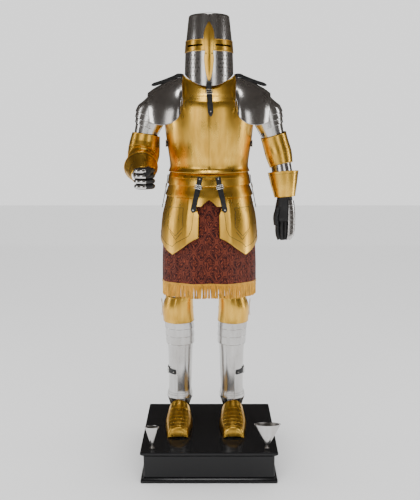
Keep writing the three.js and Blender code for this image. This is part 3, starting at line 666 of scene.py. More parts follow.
class Value:
    """A number flowing through a node tree. Ordinary arithmetic on it adds math nodes."""

    def __init__(self, tree, socket):
        self.tree, self.socket = tree, socket

    def math(self, operation, *others):
        """One math node fed by this value and the others."""
        node = self.tree.nodes.new("ShaderNodeMath")
        node.operation = operation
        for socket, value in zip(node.inputs, (self, *others)):
            put(self.tree, socket, value)
        return Value(self.tree, node.outputs[0])

    def __add__(self, other):
        return self.math("ADD", other)

    def __sub__(self, other):
        return self.math("SUBTRACT", other)

    def __mul__(self, other):
        return self.math("MULTIPLY", other)

    def __truediv__(self, other):
        return self.math("DIVIDE", other)

    def step(self, low, high):
        """0 below low, 1 above high, and a soft climb between them."""
        node = self.tree.nodes.new("ShaderNodeMapRange")
        node.interpolation_type = "SMOOTHSTEP"
        put(self.tree, node.inputs["Value"], self)
        put(self.tree, node.inputs["From Min"], low)
        put(self.tree, node.inputs["From Max"], high)
        return Value(self.tree, node.outputs[0])

    def repeat(self, period):
        """Distance to the nearest whole multiple of a period, over that period: 0 to 0.5."""
        return self.math("PINGPONG", period / 2) / period


def put(tree, socket, value):
    """Links a value to a socket, or sets the socket to it."""
    if isinstance(value, Value):
        tree.links.new(value.socket, socket)
    elif isinstance(value, bpy.types.NodeSocket):
        tree.links.new(value, socket)
    else:
        socket.default_value = value


class Finish:
    """A procedural material: a place in the object's coordinates, noises, mixes and one surface shader."""

    def __init__(self, name, uv=None):
        self.material = bpy.data.materials.new(name)
        self.material.use_nodes = True
        self.tree = self.material.node_tree
        self.tree.nodes.clear()
        if uv:
            source = self.tree.nodes.new("ShaderNodeUVMap")
            source.uv_map = uv
            self.place = source.outputs[0]
        else:
            self.place = self.tree.nodes.new("ShaderNodeTexCoord").outputs["Object"]

    def axes(self):
        """The place as three numbers."""
        node = self.tree.nodes.new("ShaderNodeSeparateXYZ")
        put(self.tree, node.inputs[0], self.place)
        return [Value(self.tree, socket) for socket in node.outputs]

    def noise(self, scale, detail=3.0, stretch=(1, 1, 1)):
        """Noise from 0 to 1 with cells of about 1/scale metres, stretched per axis."""
        place = self.tree.nodes.new("ShaderNodeMapping")
        put(self.tree, place.inputs["Vector"], self.place)
        place.inputs["Scale"].default_value = stretch
        node = self.tree.nodes.new("ShaderNodeTexNoise")
        put(self.tree, node.inputs["Vector"], place.outputs[0])
        for socket, value in (("Scale", scale), ("Detail", detail), ("Roughness", 0.55)):
            node.inputs[socket].default_value = value
        return Value(self.tree, node.outputs["Fac"])

    def cells(self, scale):
        """Distance to the nearest of many scattered points, in cell widths."""
        node = self.tree.nodes.new("ShaderNodeTexVoronoi")
        put(self.tree, node.inputs["Vector"], self.place)
        node.inputs["Scale"].default_value = scale
        return Value(self.tree, node.outputs["Distance"])

    def mix(self, amount, first, second):
        """Colour that goes from the first to the second."""
        node = self.tree.nodes.new("ShaderNodeMix")
        node.data_type = "RGBA"
        put(self.tree, node.inputs["Factor"], amount)
        for socket, colour in (("A", first), ("B", second)):
            target = next(s for s in node.inputs if s.name == socket and s.type == "RGBA")
            if isinstance(colour, (Value, bpy.types.NodeSocket)):
                put(self.tree, target, colour)
            else:
                target.default_value = (*colour[:3], 1)
        return next(s for s in node.outputs if s.type == "RGBA")

    def surface(self, height=None, deep=0.001, strength=1.0, **settings):
        """The shader: settings by socket name, spaces as underscores, and a bump of a depth in metres."""
        shader = self.tree.nodes.new("ShaderNodeBsdfPrincipled")
        for name, value in settings.items():
            if isinstance(value, (tuple, list)) or hasattr(value, "__len__"):
                value = (*value[:3], 1)
            put(self.tree, shader.inputs[name.replace("_", " ")], value)
        if height is not None:
            bumped = self.tree.nodes.new("ShaderNodeBump")
            bumped.inputs["Strength"].default_value = strength
            bumped.inputs["Distance"].default_value = deep
            put(self.tree, bumped.inputs["Height"], height)
            put(self.tree, shader.inputs["Normal"], bumped.outputs[0])
        out = self.tree.nodes.new("ShaderNodeOutputMaterial")
        self.tree.links.new(shader.outputs[0], out.inputs[0])
        return self.material


def metal(name, colour, dull, roughness, streaks=0.0, wave=0.0):
    """Sheet metal: dull patches and rubbed lines in colour and roughness, slightly uneven."""
    finish = Finish(name)
    patches = finish.noise(9, 4).step(0.35, 0.7)
    rubbed = finish.noise(55, 5, (1, 1, 0.05)).step(0.3, 0.75)
    specks = finish.noise(420, 2).step(0.66, 0.8)
    shade = patches * 0.35 + rubbed * streaks + specks * 0.1
    rough = patches * 0.06 + rubbed * (0.04 + streaks * 0.12) + roughness
    height = finish.noise(11, 1.5) * wave
    return finish.surface(
        height, 0.0016, 1.0, Base_Color=finish.mix(shade, colour, dull), Metallic=1.0, Roughness=rough,
    )


def leather_finish(name, colour, worn):
    """Grained leather: small cells with creases, lighter where it is rubbed."""
    finish = Finish(name)
    grain = finish.cells(900).step(0.05, 0.6)
    creases = finish.noise(160, 4)
    rubbed = finish.noise(30, 4).step(0.5, 0.8)
    height = grain * 0.5 + creases
    return finish.surface(
        height, 0.0006, 0.7, Base_Color=finish.mix(rubbed, colour, worn), Roughness=rubbed * 0.12 + 0.42,
        Specular_IOR_Level=0.45,
    )


def brocade_finish(settings):
    """Two crossed waves give a lattice of pointed ovals; a rosette and four tendrils fill each."""
    finish = Finish("brocade", uv="cloth")
    x, y, _ = finish.axes()
    wander = finish.noise(20, 2) * 0.02
    x = x + wander - 0.01
    y = y + finish.noise(24, 2) * 0.014
    wide, tall = settings.repeat_wide, settings.repeat_tall
    across = (x * (2 * math.pi / wide)).math("COSINE")
    up = (y * (2 * math.pi / tall)).math("COSINE")
    lattice = across + up
    border = (lattice.math("ABSOLUTE") - 0.10).math("ABSOLUTE").step(0.15, 0.07)
    inner = (lattice.math("ABSOLUTE") - 0.52).math("ABSOLUTE").step(0.09, 0.03)
    # Every oval's middle: where both waves reach the same end.
    local_x = (x * (2 * math.pi / wide)).math("SINE")
    local_y = (y * (2 * math.pi / tall)).math("SINE")
    inside = lattice.math("ABSOLUTE").step(0.6, 0.75)
    far = (local_x * local_x + local_y * local_y).math("SQRT")
    turn = local_y.math("ARCTAN2", local_x)
    petals = ((turn * 6.0).math("COSINE") * 0.12 + 0.40 - far).math("ABSOLUTE").step(0.085, 0.03)
    heart = far.step(0.17, 0.10)
    spiral = (turn * 4.0 + far * 15.0).math("SINE").math("ABSOLUTE").step(0.34, 0.14)
    ring = far.step(0.5, 0.56) * far.step(1.15, 1.0)
    leaves = ((turn * 4.0 - far * 11.0).math("SINE") * (x * 260.0).math("SINE")).step(0.30, 0.5)
    drawn = (border * 0.4).math("MAXIMUM", inner * 0.55)
    drawn = drawn.math("MAXIMUM", inside * petals.math("MAXIMUM", heart))
    drawn = drawn.math("MAXIMUM", spiral * ring * lattice.math("ABSOLUTE").step(0.25, 0.4))
    outside = lattice.math("ABSOLUTE").step(0.62, 0.8) * far.step(0.62, 0.7)
    drawn = drawn.math("MAXIMUM", leaves * outside * 0.6)
    frayed = finish.noise(1400, 2, (1, 0.25, 1)).step(0.25, 0.62)
    worn = finish.noise(22, 3).step(0.25, 0.6)
    drawn = drawn * (frayed * 0.6 + 0.4) * (worn * 0.35 + 0.65)
    weft = (y.repeat(0.0011) * 2.0) * 0.5 + x.repeat(0.0016) * 0.6
    ground = finish.mix(finish.noise(60, 4), settings.ground, [c * 0.55 for c in settings.ground])
    return finish.surface(
        weft + drawn * 1.6, 0.0005, 0.9, Base_Color=finish.mix(drawn, ground, settings.thread),
        Roughness=drawn * -0.28 + 0.72, Metallic=drawn * 0.35, Sheen_Weight=0.03, Specular_IOR_Level=0.25,
    )


def thread_finish(settings):
    """Metallic yarn: light and dark strands along its length."""
    finish = Finish("gold_thread")
    strands = finish.noise(520, 3, (1, 1, 0.06))
    clumps = finish.noise(60, 3, (1, 1, 0.3))
    shade = strands.step(0.35, 0.68) * 0.7 + clumps.step(0.4, 0.7) * 0.3
    dark = [c * 0.36 for c in settings.fringe]
    return finish.surface(
        strands, 0.0008, 0.8, Base_Color=finish.mix(shade, settings.fringe, dark), Roughness=0.46,
        Metallic=0.45, Sheen_Weight=0.2,
    )


def lacquer_finish():
    """Gloss black paint with a faint orange peel and a little dust."""
    finish = Finish("black_lacquer")
    dust = finish.noise(900, 2).step(0.62, 0.8)
    height = finish.noise(45, 2)
    return finish.surface(
        height, 0.0002, 0.6, Base_Color=finish.mix(dust * 0.25, (0.006, 0.006, 0.0065), (0.06, 0.06, 0.06)),
        Roughness=dust * 0.15 + 0.16, Specular_IOR_Level=0.3,
    )


def paint_finish():
    """Grey hammered paint of the hidden stand."""
    finish = Finish("stand_paint")
    spots = finish.noise(220, 3)
    return finish.surface(
        spots, 0.0004, 0.6, Roughness=0.5,
        Base_Color=finish.mix(spots, (0.16, 0.17, 0.18), (0.3, 0.31, 0.32)),
    )


FINISHES = {}


def finishes(*names):
    """The materials of those names."""
    return [FINISHES[name] for name in names]


# ---------------------------------------------------------------- settings

def length(name, description, default, top):
    """A length property in metres."""
    return FloatProperty(name=name, description=description, default=default, min=0, max=top, unit="LENGTH")


def share(name, description, default, top=1.0):
    """A number from 0 to top."""
    return FloatProperty(name=name, description=description, default=default, min=0, max=top)


def colour(name, description, default):
    """A linear colour."""
    return FloatVectorProperty(
        name=name, description=description, default=default, subtype="COLOR", min=0, max=1,
    )


class FinishSettings(PropertyGroup):
    """Colours and roughness of every material."""
    steel: colour("Steel", "Colour of polished steel", (0.66, 0.65, 0.64))
    steel_dull: colour("Dull steel", "Colour of its duller patches", (0.40, 0.37, 0.34))
    steel_rough: share("Steel roughness", "How far reflections blur on steel", 0.17)
    brass: colour("Brass", "Colour of rubbed brass", (0.93, 0.56, 0.09))
    brass_dull: colour("Dull brass", "Colour of its darker streaks", (0.66, 0.34, 0.04))
    brass_rough: share("Brass roughness", "How far reflections blur on brass", 0.24)
    leather: colour("Leather", "Colour of straps and gloves", (0.006, 0.006, 0.0065))
    fringe: colour("Fringe", "Colour of the gold yarn", (0.86, 0.43, 0.02))
    ground: colour("Cloth", "Ground colour of the brocade", (0.030, 0.0016, 0.0022))
    thread: colour("Brocade thread", "Colour of the pattern's thread", (0.40, 0.078, 0.03))
    repeat_wide: length("Pattern width", "Width of one repeat of the brocade", 0.066, 1)
    repeat_tall: length("Pattern height", "Height of one repeat of the brocade", 0.092, 1)


class DetailSettings(PropertyGroup):
    """Sizes of small details."""
    rivet: share("Rivet", "Radius of the rivets on the knee plates, in mm", 3.0, 8)
    strand: share("Strand", "Radius of one strand of the fringe, in mm", 1.3, 4)
    strands: IntProperty(
        name="Fringe strands", description="Strands round the hem", default=1500, min=50, max=3000,
    )


class StageSettings(PropertyGroup):
    """Camera, light and floor around the object."""
    distance: length("Camera distance", "How far in front the camera stands", 2.85, 20)
    camera_x: FloatProperty(
        name="Camera across", description="Camera's place across", default=0.004, unit="LENGTH",
    )
    camera_z: length("Camera height", "Height of the camera", 1.565, 10)
    tilt: FloatProperty(
        name="Camera tilt", description="Camera's turn about X", default=math.radians(78.58),
        subtype="ANGLE",
    )
    lens: FloatProperty(
        name="Lens", description="Focal length on a 36 mm sensor", default=47.18, unit="CAMERA",
    )
    key: FloatProperty(name="Key", description="Power of the large front light", default=30, unit="POWER")
    side: FloatProperty(name="Side", description="Power of each tall side light", default=26, unit="POWER")
    top: FloatProperty(name="Top", description="Power of the light overhead", default=22, unit="POWER")
    world: share("Surroundings", "Brightness of the surroundings", 1.45, 3.0)


class Maker(Operator):
    """Base of the operators that build a piece."""
    bl_options = {"REGISTER", "UNDO"}

    def execute(self, context):
        """Builds the piece from the scene's settings."""
        self.build(context.scene.armour_details)
        return {"FINISHED"}


# ---------------------------------------------------------------- parts that repeat

def curve(points, count):
    """Smooth line through points, on the same cubic as the tables."""
    rows = [(i, *point) for i, point in enumerate(points)]
    row = Table("at x y z", *rows).at(np.linspace(0, len(points) - 1, count))
    return stacked(row["x"], row["y"], row["z"])


def strap(form, path, across, wide, thick=2.6, tip=18.0):
    """Leather strap: a flat bar along a path, whose last stretch narrows as the root of its length."""
    path = np.asarray(path, float)
    along = unit(np.gradient(path, axis=0))
    across = np.broadcast_to(np.asarray(across, float), path.shape)
    across = unit(across - along * (across * along).sum(-1, keepdims=True))
    out = np.cross(across, along)
    pieces = np.linalg.norm(np.diff(path, axis=0), axis=1)
    left = np.append(np.cumsum(pieces[::-1])[::-1], 0)
    half = wide / 2 * np.sqrt(np.clip(left / tip, 0.02, 1))
    lines = np.linspace(-1, 1, 7)
    points = path[None] + lines[:, None, None] * half[None, :, None] * across[None] + out[None] * thick / 2
    return form.sheet(points, thick)


def buckle(form, centre, across, up, wide, tall, bar=1.6):
    """Buckle: a round bar along a squared loop, a tongue over its middle and a keeper bar."""
    across, up = unit(np.asarray(across, float)), unit(np.asarray(up, float))
    out = np.cross(across, up)
    turn = np.linspace(0, 2 * np.pi, 32, endpoint=False)
    side = np.sign(np.cos(turn)) * np.abs(np.cos(turn)) ** 0.35 * wide / 2
    rise = np.sign(np.sin(turn)) * np.abs(np.sin(turn)) ** 0.35 * tall / 2
    centre = np.asarray(centre, float)
    form.bead(centre + side[:, None] * across + rise[:, None] * up, bar, out, closed=True)
    reach = np.array([-0.55, 0.0, 0.55])[:, None]
    form.bead(centre + reach * up * tall + out * bar * 0.8, bar * 0.7, across)
    return form.bead(centre + reach * across * wide * 0.9 - out * bar * 0.4, bar * 0.8, out)


def lame_stack(form, table, start, end, edges, flare=1.0, off=0.0, around=96):
    """Overlapping lames round a table: each flares at its low edge and tucks 4 mm under the next."""
    for low, high in zip(edges[:-1], edges[1:]):
        top = high + 4.0 if high != edges[-1] else high

        def lean(angle, height, low=low, top=top):
            return off + flare * (top - height) / (top - low)
        form.edged(ring_face(table, start, end, low, top, lean), around, 10, PLATE, 1.1, sides=("low",))
    return form


def flat_box(form, low, high):
    """A plain box between two corners."""
    x, y, z = zip(low, high)
    corners = [[x[i], y[j], z[k]] for i in (0, 1) for j in (0, 1) for k in (0, 1)]
    faces = [(0, 1, 3, 2), (4, 6, 7, 5), (0, 4, 5, 1), (2, 3, 7, 6), (0, 2, 6, 4), (1, 5, 7, 3)]
    return form.add(corners, faces)


def helm_low(angle):
    """Lower edge of the helm: a dip of 54 mm in front and 20 behind, as the cosine to the power 1.6."""
    turn = np.cos(angle)
    return HELM_LOW - np.where(turn > 0, HELM_CHIN, HELM_NAPE) * np.abs(turn) ** 1.6


class ARMOUR_OT_helm(Maker):
    """Helm: rings of the helm table closed over a flat crown, two lower plates, a band and a nose bar."""
    bl_idname = "armour.helm"
    bl_label = "Helm"

    def build(self, details):
        """Skull, face, nape, band and bar, with holes bored through the face and slits through the band."""
        def skull_low(angle):
            return 0.16 * smooth(-0.16, -0.05, np.cos(angle))

        dome = ring_face(SKULL, -180, 180, skull_low, 1.0)
        # The inside walls of the helm's skull, face, nape and band are in the dark finish: painted shade
        # inside the helm.
        skull = Form().sheet(grid(dome, 96, 48), HEAVY, True, inside_finish=1)
        seam_and_painted_shade = ring_face(SKULL, -180, 180, 0.0, 1.0, 0.35)
        for turn in (0.5, 0.0):
            rise = np.linspace(0.3 if turn else 0.02, 0.8, 60)
            skull.use(1).bead(on(seam_and_painted_shade, turn, rise)[0], 0.5)
        skull.use(0).domes(*on(seam_and_painted_shade, (np.arange(-84, 85, 24) + 180) / 360, 0.2), 2.4)
        skull.cover("helm_skull", "steel", "seam_and_painted_shade")

        face = ring_face(HELM, -FACE_TURN, FACE_TURN, helm_low, SIGHT - SIGHT_GAP / 2)
        trim = Form().rolled(grid(face, 100, 30), HEAVY, 1.5, ("low", "start", "end"))
        front = Form().sheet(grid(face, 150, 44), HEAVY, inside_finish=1)
        plate = front.cover("helm_face", "steel", "seam_and_painted_shade")
        trim.make("helm_face_trim", finishes("steel"), (), "steel")
        holes = Form()
        for side in (-1, 1):
            for row, height in enumerate((1588, 1604, 1620, 1636, 1652, 1668)):
                for angle in (24, 32, 40, 48, 56):
                    turn = math.radians(angle + 4 * (row % 2))
                    level = (height - helm_low(turn)) / (SIGHT - SIGHT_GAP / 2 - helm_low(turn))
                    where = (side * math.degrees(turn) + FACE_TURN) / (2 * FACE_TURN)
                    if abs(angle - 40) + abs(height - 1628) * 0.35 < 26:
                        drill(holes, *on(face, where, level), 3.3)
        carve(plate, holes)

        back = ring_face(HELM, 90, 270, helm_low, SIGHT - SIGHT_GAP / 2, -HEAVY - 0.9)
        nape = Form().edged(back, 90, 30, HEAVY, 1.4, sides=("low",), inside_finish=1)
        nape.cover("helm_back", "steel", "seam_and_painted_shade")

        sight = ring_face(HELM, -FACE_TURN, FACE_TURN, BAND["low"], BAND["high"], BAND["thick"] + 0.9)
        band = Form().sheet(grid(sight, 130, 12), BAND["thick"], inside_finish=1)
        belt = band.cover("helm_band", "brass", "seam_and_painted_shade")
        edges = Form()
        for level in (0.0, 1.0):
            edges.bead(grid(sight, 130, [level, 0.5])[:, 0], 1.5)
        edges.make("helm_band_trim", finishes("brass"), (), "brass")
        slits = Form()
        for side in (-1, 1):
            flat_box(slits, (side * 57 - 31, -150, SIGHT - 3.4), (side * 57 + 31, -20, SIGHT + 3.4))
        carve(belt, slits)

        def nose(u, v):
            height = lerp(NOSE_BAR.key[0], NOSE_BAR.key[-1], v)
            row, x = HELM.at(height), lerp(-1, 1, u) * NOSE_BAR.at(height)["half"]
            reach = row["front"] + 4.8 + 1.6 * (1 - np.abs(2 * u - 1))
            return stacked(x, -reach * np.sqrt(1 - (x / row["wide"]) ** 2), height)

        bar = Form().edged(nose, 16, 90, BAND["thick"], 1.0, sides=("start", "end"))
        spots = np.array([[-12, 1672], [12, 1672], [0, 1579], [-10, 1706], [10, 1706], [0, 1776]])
        level = (spots[:, 1] - 1566) / 229
        half = NOSE_BAR.at(spots[:, 1])["half"]
        heads, out = on(nose, 0.5 + spots[:, 0] / half / 2, level)
        bar.domes(heads[2:], out[2:], 2.0)
        bar.use(1).domes(heads[:2], out[:2], 3.0, tall=0.08)
        bar.cover("helm_bar", "brass", "seam_and_painted_shade")


class ARMOUR_OT_cuirass(Maker):
    """Breast and back: torso rings between the armholes, the neck edge scooped as width to the power 1.6."""
    bl_idname = "armour.cuirass"
    bl_label = "Cuirass"

    def build(self, details):
        """Two plates with rolled edges; the breast has a low middle ridge."""
        def plate(column, middle, off, ridge=0.0):
            def face(u, v):
                across = lerp(-1, 1, u)
                neck = 1592 - 46 * (1 - np.abs(across) ** 1.6)
                height = lerp(1197, neck, v)
                reach = TORSO_EDGE.at(height)[column]
                turn = np.radians(middle + across * reach)
                raised = ridge * (bump(np.degrees(turn), 4.5) * smooth(1500, 1440, height)
                                  + 1.3 * bump(height - 1501, 7))
                return ring(TORSO.at(height), turn, off + raised)
            return face

        stretches = ((0, 0.72, 46), (0.73, 0.82, 22), (0.83, 1, 20))
        rows = np.concatenate([np.linspace(*stretch) for stretch in stretches])
        breast = Form().edged(plate("breast", 0, 0, 1.6), 130, rows, HEAVY, 2.2, sides=ALL_ROUND)
        # A thin dark line along the middle ridge, in the dark finish: painted dark reflection of the ridge.
        breast.use(1).bead(on(plate("breast", 0, 0, 1.6), 0.5, np.linspace(0.06, 0.8, 60), 0.1)[0], 0.6)
        breast.cover("breastplate", "brass", "seam_and_painted_shade")
        back = Form().edged(plate("back", 180, -4.6), 80, 50, PLATE, 1.8, sides=("high", "start", "end"))
        back.cover("backplate", "brass")


class ARMOUR_OT_fauld(Maker):
    """Hip lames: overlapping rings in front with the arched apron, and four plain ones behind."""
    bl_idname = "armour.fauld"
    bl_label = "Hip lames"

    def build(self, details):
        """Upper and lower lames and the ones behind."""
        upper = lame_stack(Form(), FAULD_UPPER, -WRAP, WRAP, [1143, 1173, 1204], flare=0.9, around=130)
        upper.cover("fauld_upper", "brass")

        widest = FAULD_LOWER.columns["wide"][0]

        def low_edge(angle):
            x = np.abs(widest * np.sin(angle))
            arch = lerp(APRON["peak"], APRON["low"], np.clip(x / APRON["arch"], 0, 1) ** 1.3)
            climb = np.clip((x - APRON["half"]) / APRON["step"], 0, 1)
            stepped = np.where(x > APRON["half"], lerp(APRON["low"], APRON["edge"], climb), arch)
            return np.where(x > APRON["half"] + APRON["step"], APRON["edge"], stepped)

        stops = np.degrees(np.arcsin(np.array([0, 33, 57.8, 61.2]) / widest))
        spans = zip(stops, [*stops[1:], WRAP], (26, 14, 6, 50))
        halves = np.concatenate([np.linspace(a, b, n, endpoint=False) for a, b, n in spans] + [[WRAP]])
        around = (np.concatenate([-halves[:0:-1], halves]) + WRAP) / (2 * WRAP)
        lower = Form()
        face = ring_face(FAULD_LOWER, -WRAP, WRAP, low_edge, 1129, 0.9)
        lower.edged(face, around, 18, PLATE, 0.9, sides=("low",))
        above = ring_face(FAULD_LOWER, -WRAP, WRAP, 1124, 1156, -0.7)
        lower.edged(above, 120, 8, PLATE, 0.8, sides=("high",))
        lower.cover("fauld_lower", "brass")
        rear = lame_stack(Form(), CULET, 93, 267, [1060, 1096, 1132, 1168, 1204], off=-3, flare=0.8)
        rear.cover("culet", "brass")


class ARMOUR_OT_tassets(Maker):
    """Thigh plates: rings between edges that run straight from angle to angle, with incised lines."""
    bl_idname = "armour.tassets"
    bl_label = "Tassets"

    def build(self, details):
        """A pointed plate each side, a shield outline and a border line drawn on it."""
        def low(angle):
            return TASSET_EDGE.line(np.degrees(angle), "low")

        def high(angle):
            return TASSET_EDGE.line(np.degrees(angle), "high")

        def tapered(angle, height):
            return 1.6 * bump(np.degrees(angle) - 27, 3) - 0.6

        face = ring_face(TASSET, 12.5, 91, low, high, tapered)
        around = (np.unique(np.concatenate([np.linspace(12.5, 91, 100), TASSET_EDGE.key])) - 12.5) / 78.5

        def line(corners):
            points = np.array(corners, float)
            steps = np.linspace(0, len(points) - 1, 90)
            turn, height = (np.interp(steps, range(len(points)), column) for column in points.T)
            return ring(TASSET.at(height), np.radians(turn), tapered(np.radians(turn), height) + 0.15)

        shield = [(34, 1052), (61, 1050), (56, 962), (42, 932), (31.5, 972), (34, 1052)]
        chevron = [(52.5, 948), (41.5, 917), (33, 950)]
        border = [(18.4, 1064), (20.3, 965), (24, 936), (41, 903), (47, 884)]
        outer = [(47, 884), (58, 892), (76, 918), (88, 936)]
        for letter, side in SIDES:
            own = mirrored(face) if side < 0 else face
            columns = 1 - around[::-1] if side < 0 else around
            plate = Form().edged(own, columns, 52, PLATE, 1.3, sides=ALL_ROUND)
            for drawn in (shield, chevron, border, outer):
                plate.use(1).bead(line(drawn) * np.array([side, 1, 1]), 0.9)
            turn = np.radians([16, 86])
            heads = ring(TASSET.at(np.array([1040, 1060])), turn, 1.0) * np.array([side, 1, 1])
            plate.use(0).domes(heads, unit(heads * [1, 1, 0]), 3)
            plate.cover(f"tasset_{letter}", "brass", "seam_and_painted_shade")


def fold(angle, height):
    """Folds: the sum of depth times a bell curve of the turn from each fold, growing from waist to hem."""
    growth = np.clip((WAIST - height) / 330, 0, 1)
    away = (np.degrees(angle)[..., None] - FOLDS.key + 540) % 360 - 180
    soft = (FOLDS.columns["depth"] * bump(away, FOLDS.columns["width"])).sum(-1)
    small = 0.9 * np.sin(17 * angle + 1.3) + 0.6 * np.sin(29 * angle + height * 0.006)
    return growth * (soft + small)


def hem(angle):
    """Height of the hem: 12 mm higher in front, as the cosine squared."""
    return HEM + HEM_RISE * np.maximum(np.cos(angle), 0) ** 2


class ARMOUR_OT_skirt(Maker):
    """Brocade skirt: rings of the skirt table pushed in and out by soft folds, with a fringe below."""
    bl_idname = "armour.skirt"
    bl_label = "Skirt and fringe"

    def build(self, details):
        """The cloth on its own length and height, then yarn strands that bunch and sway."""
        points = grid(ring_face(SKIRT, -180, 180, hem, WAIST, fold), 240, 64)
        girth = np.linalg.norm(np.diff(points[:, 12], axis=0), axis=1)
        along = np.concatenate([[0], np.cumsum(girth)])
        uv = stacked((along - along[120])[:, None], points[..., 2], 0)[..., :2] * MM
        cloth = Form().sheet(points, CLOTH, closed=True, uv=uv)
        skirt = cloth.make("skirt_cloth", finishes("brocade"), ["skirt"], "brocade")

        below = Table(RINGS, (600, 205, 166, 174), (760, 206, 169, 174))
        rng = np.random.default_rng(7)
        count, steps = details.strands, 7
        turn = np.linspace(-np.pi, np.pi, count, endpoint=False) + rng.normal(0, 0.0015, count)
        bundle = np.round(turn / (2 * np.pi) * 110) / 110 * 2 * np.pi
        fall = np.linspace(0, 1, steps)
        sway = rng.normal(0, 0.008, 111)[(np.round(turn / (2 * np.pi) * 110) + 55).astype(int)]
        pull = (0.3 * smooth(0.1, 0.7, fall) - 0.18 * smooth(0.75, 1, fall))[None]
        swing = (sway + rng.normal(0, 0.003, count))[:, None] * fall**2
        angle = lerp(turn[:, None], bundle[:, None], pull) + swing
        drop = FRINGE_DROP - np.abs(rng.normal(0, 2.4, count))
        height = hem(turn)[:, None] - 2 - (drop[:, None] - 2) * fall[None]
        depth = rng.uniform(-3.4, 0.4, count)[:, None] + rng.normal(0, 1, count)[:, None] * fall[None] ** 2
        paths = ring(below.at(height), angle, fold(angle, height) + depth)
        yarn = Form()
        for path in paths:
            yarn.bead(path, details.strand, (0, 0.2, 1), sides=4)
        header = ring_face(below, -180, 180, lambda a: hem(a) - 9, lambda a: hem(a) - 0.4, fold)
        yarn.use(0).sheet(grid(lifted(header, 0.6), 300, 3), 2.4, closed=True)
        for drop in (1.6, 7.4):
            turn = np.linspace(-np.pi, np.pi, 420, endpoint=False)
            height = hem(turn) - drop
            wave = 0.5 * np.sin(turn * 210)
            yarn.bead(ring(below.at(height), turn, fold(turn, height) + 1.0 + wave), 1.5, closed=True)
        gold = finishes("gold_thread")
        fringe = yarn.make("fringe_strands", gold, ["fringe"], "fringe", sharp=60, merge=0.001)
        high = float(points[0, -1, 2] - points[0, 0, 2]) * MM


class ARMOUR_OT_shoulders(Maker):
    """Shoulder plates: quarter ellipses from a crest line to the edges, and lames down the arm."""
    bl_idname = "armour.shoulders"
    bl_label = "Shoulders"

    def build(self, details):
        """Plate, three lames and the upper arm's tube on each side."""
        def plate(u, v):
            row, turn = PAULDRON.at(1 - v), lerp(-1, 1, u)
            bend = np.abs(turn) * np.pi / 2
            fall = 1 - np.cos(bend)
            pick = {axis: np.where(turn < 0, row[f"front{axis}"], row[f"back{axis}"]) for axis in "XYZ"}
            return stacked(lerp(row["crestX"], pick["X"], fall), pick["Y"] * np.sin(bend),
                           lerp(row["crestZ"], pick["Z"], fall))

        for letter, side in SIDES:
            def own(face, side=side):
                return mirrored(face) if side < 0 else face
            lobe = Form().edged(own(plate), 90, 46, PLATE, 1.5, sides=ALL_ROUND)
            lobe.cover(f"pauldron_{letter}", "steel")
            lames = Form()
            for low, high, off in zip(*(SHOULDER_LAMES.columns[name] for name in ("low", "high", "off"))):
                def lean(angle, at, low=low, high=high, off=off):
                    return off + 1.5 * (high - at) / (high - low)

                top = high == 150
                table, end = (ARM_TOP, ARM_TOP.key[-1]) if top else (UPPER_ARM, high)
                face = own(tube_face(table, -20, 200, low, end, lean))
                lames.edged(face, 60, 8, PLATE, 1.2, sides=("low",))
                lames.domes(*on(face, np.array([0.05, 0.35, 0.65, 0.95]), 0.25), 2.2)
            lames.cover(f"shoulder_lames_{letter}", "steel")
            upper = own(tube_face(UPPER_ARM, high=112))
            tube = Form().edged(upper, 64, 16, PLATE, 1.2, True, ("low", "high"))
            tube.cover(f"rerebrace_{letter}", "steel")


class ARMOUR_OT_arms(Maker):
    """Elbows, forearms and cuffs: rings square to the bent line of each arm."""
    bl_idname = "armour.arms"
    bl_label = "Arms"

    def build(self, details):
        """Closed tubes with rolled edges and raised lines."""
        for letter, side in SIDES:
            arm = BENT_ARM if side < 0 else HANGING_ARM
            for part, node, finish, levels, bead in (
                ("couter", "couter", "brass", (0.34, 0.66), 1.7),
                ("forearm", "vambrace", "steel", (0.05,), 1.1),
                ("cuff", "cuff", "brass", (0.9,), 1.7),
            ):
                face = tube_face(arm[part])
                face = mirrored(face) if side < 0 else face
                tube = Form().edged(face, 64, 28, PLATE, bead, True, ("low", "high"))
                raised = part == "couter"
                for level in levels:
                    path = on(face, np.linspace(0, 1, 81)[:-1], level, 0.2)[0]
                    tube.use(0 if raised else 1).bead(path, 0.8 if raised else 0.5, closed=True)
                tube.use(0).domes(*on(face, np.array([0.3, 0.7]), 0.5), 2.6)
                tube.cover(f"{node}_{letter}", finish, "seam_and_painted_shade")


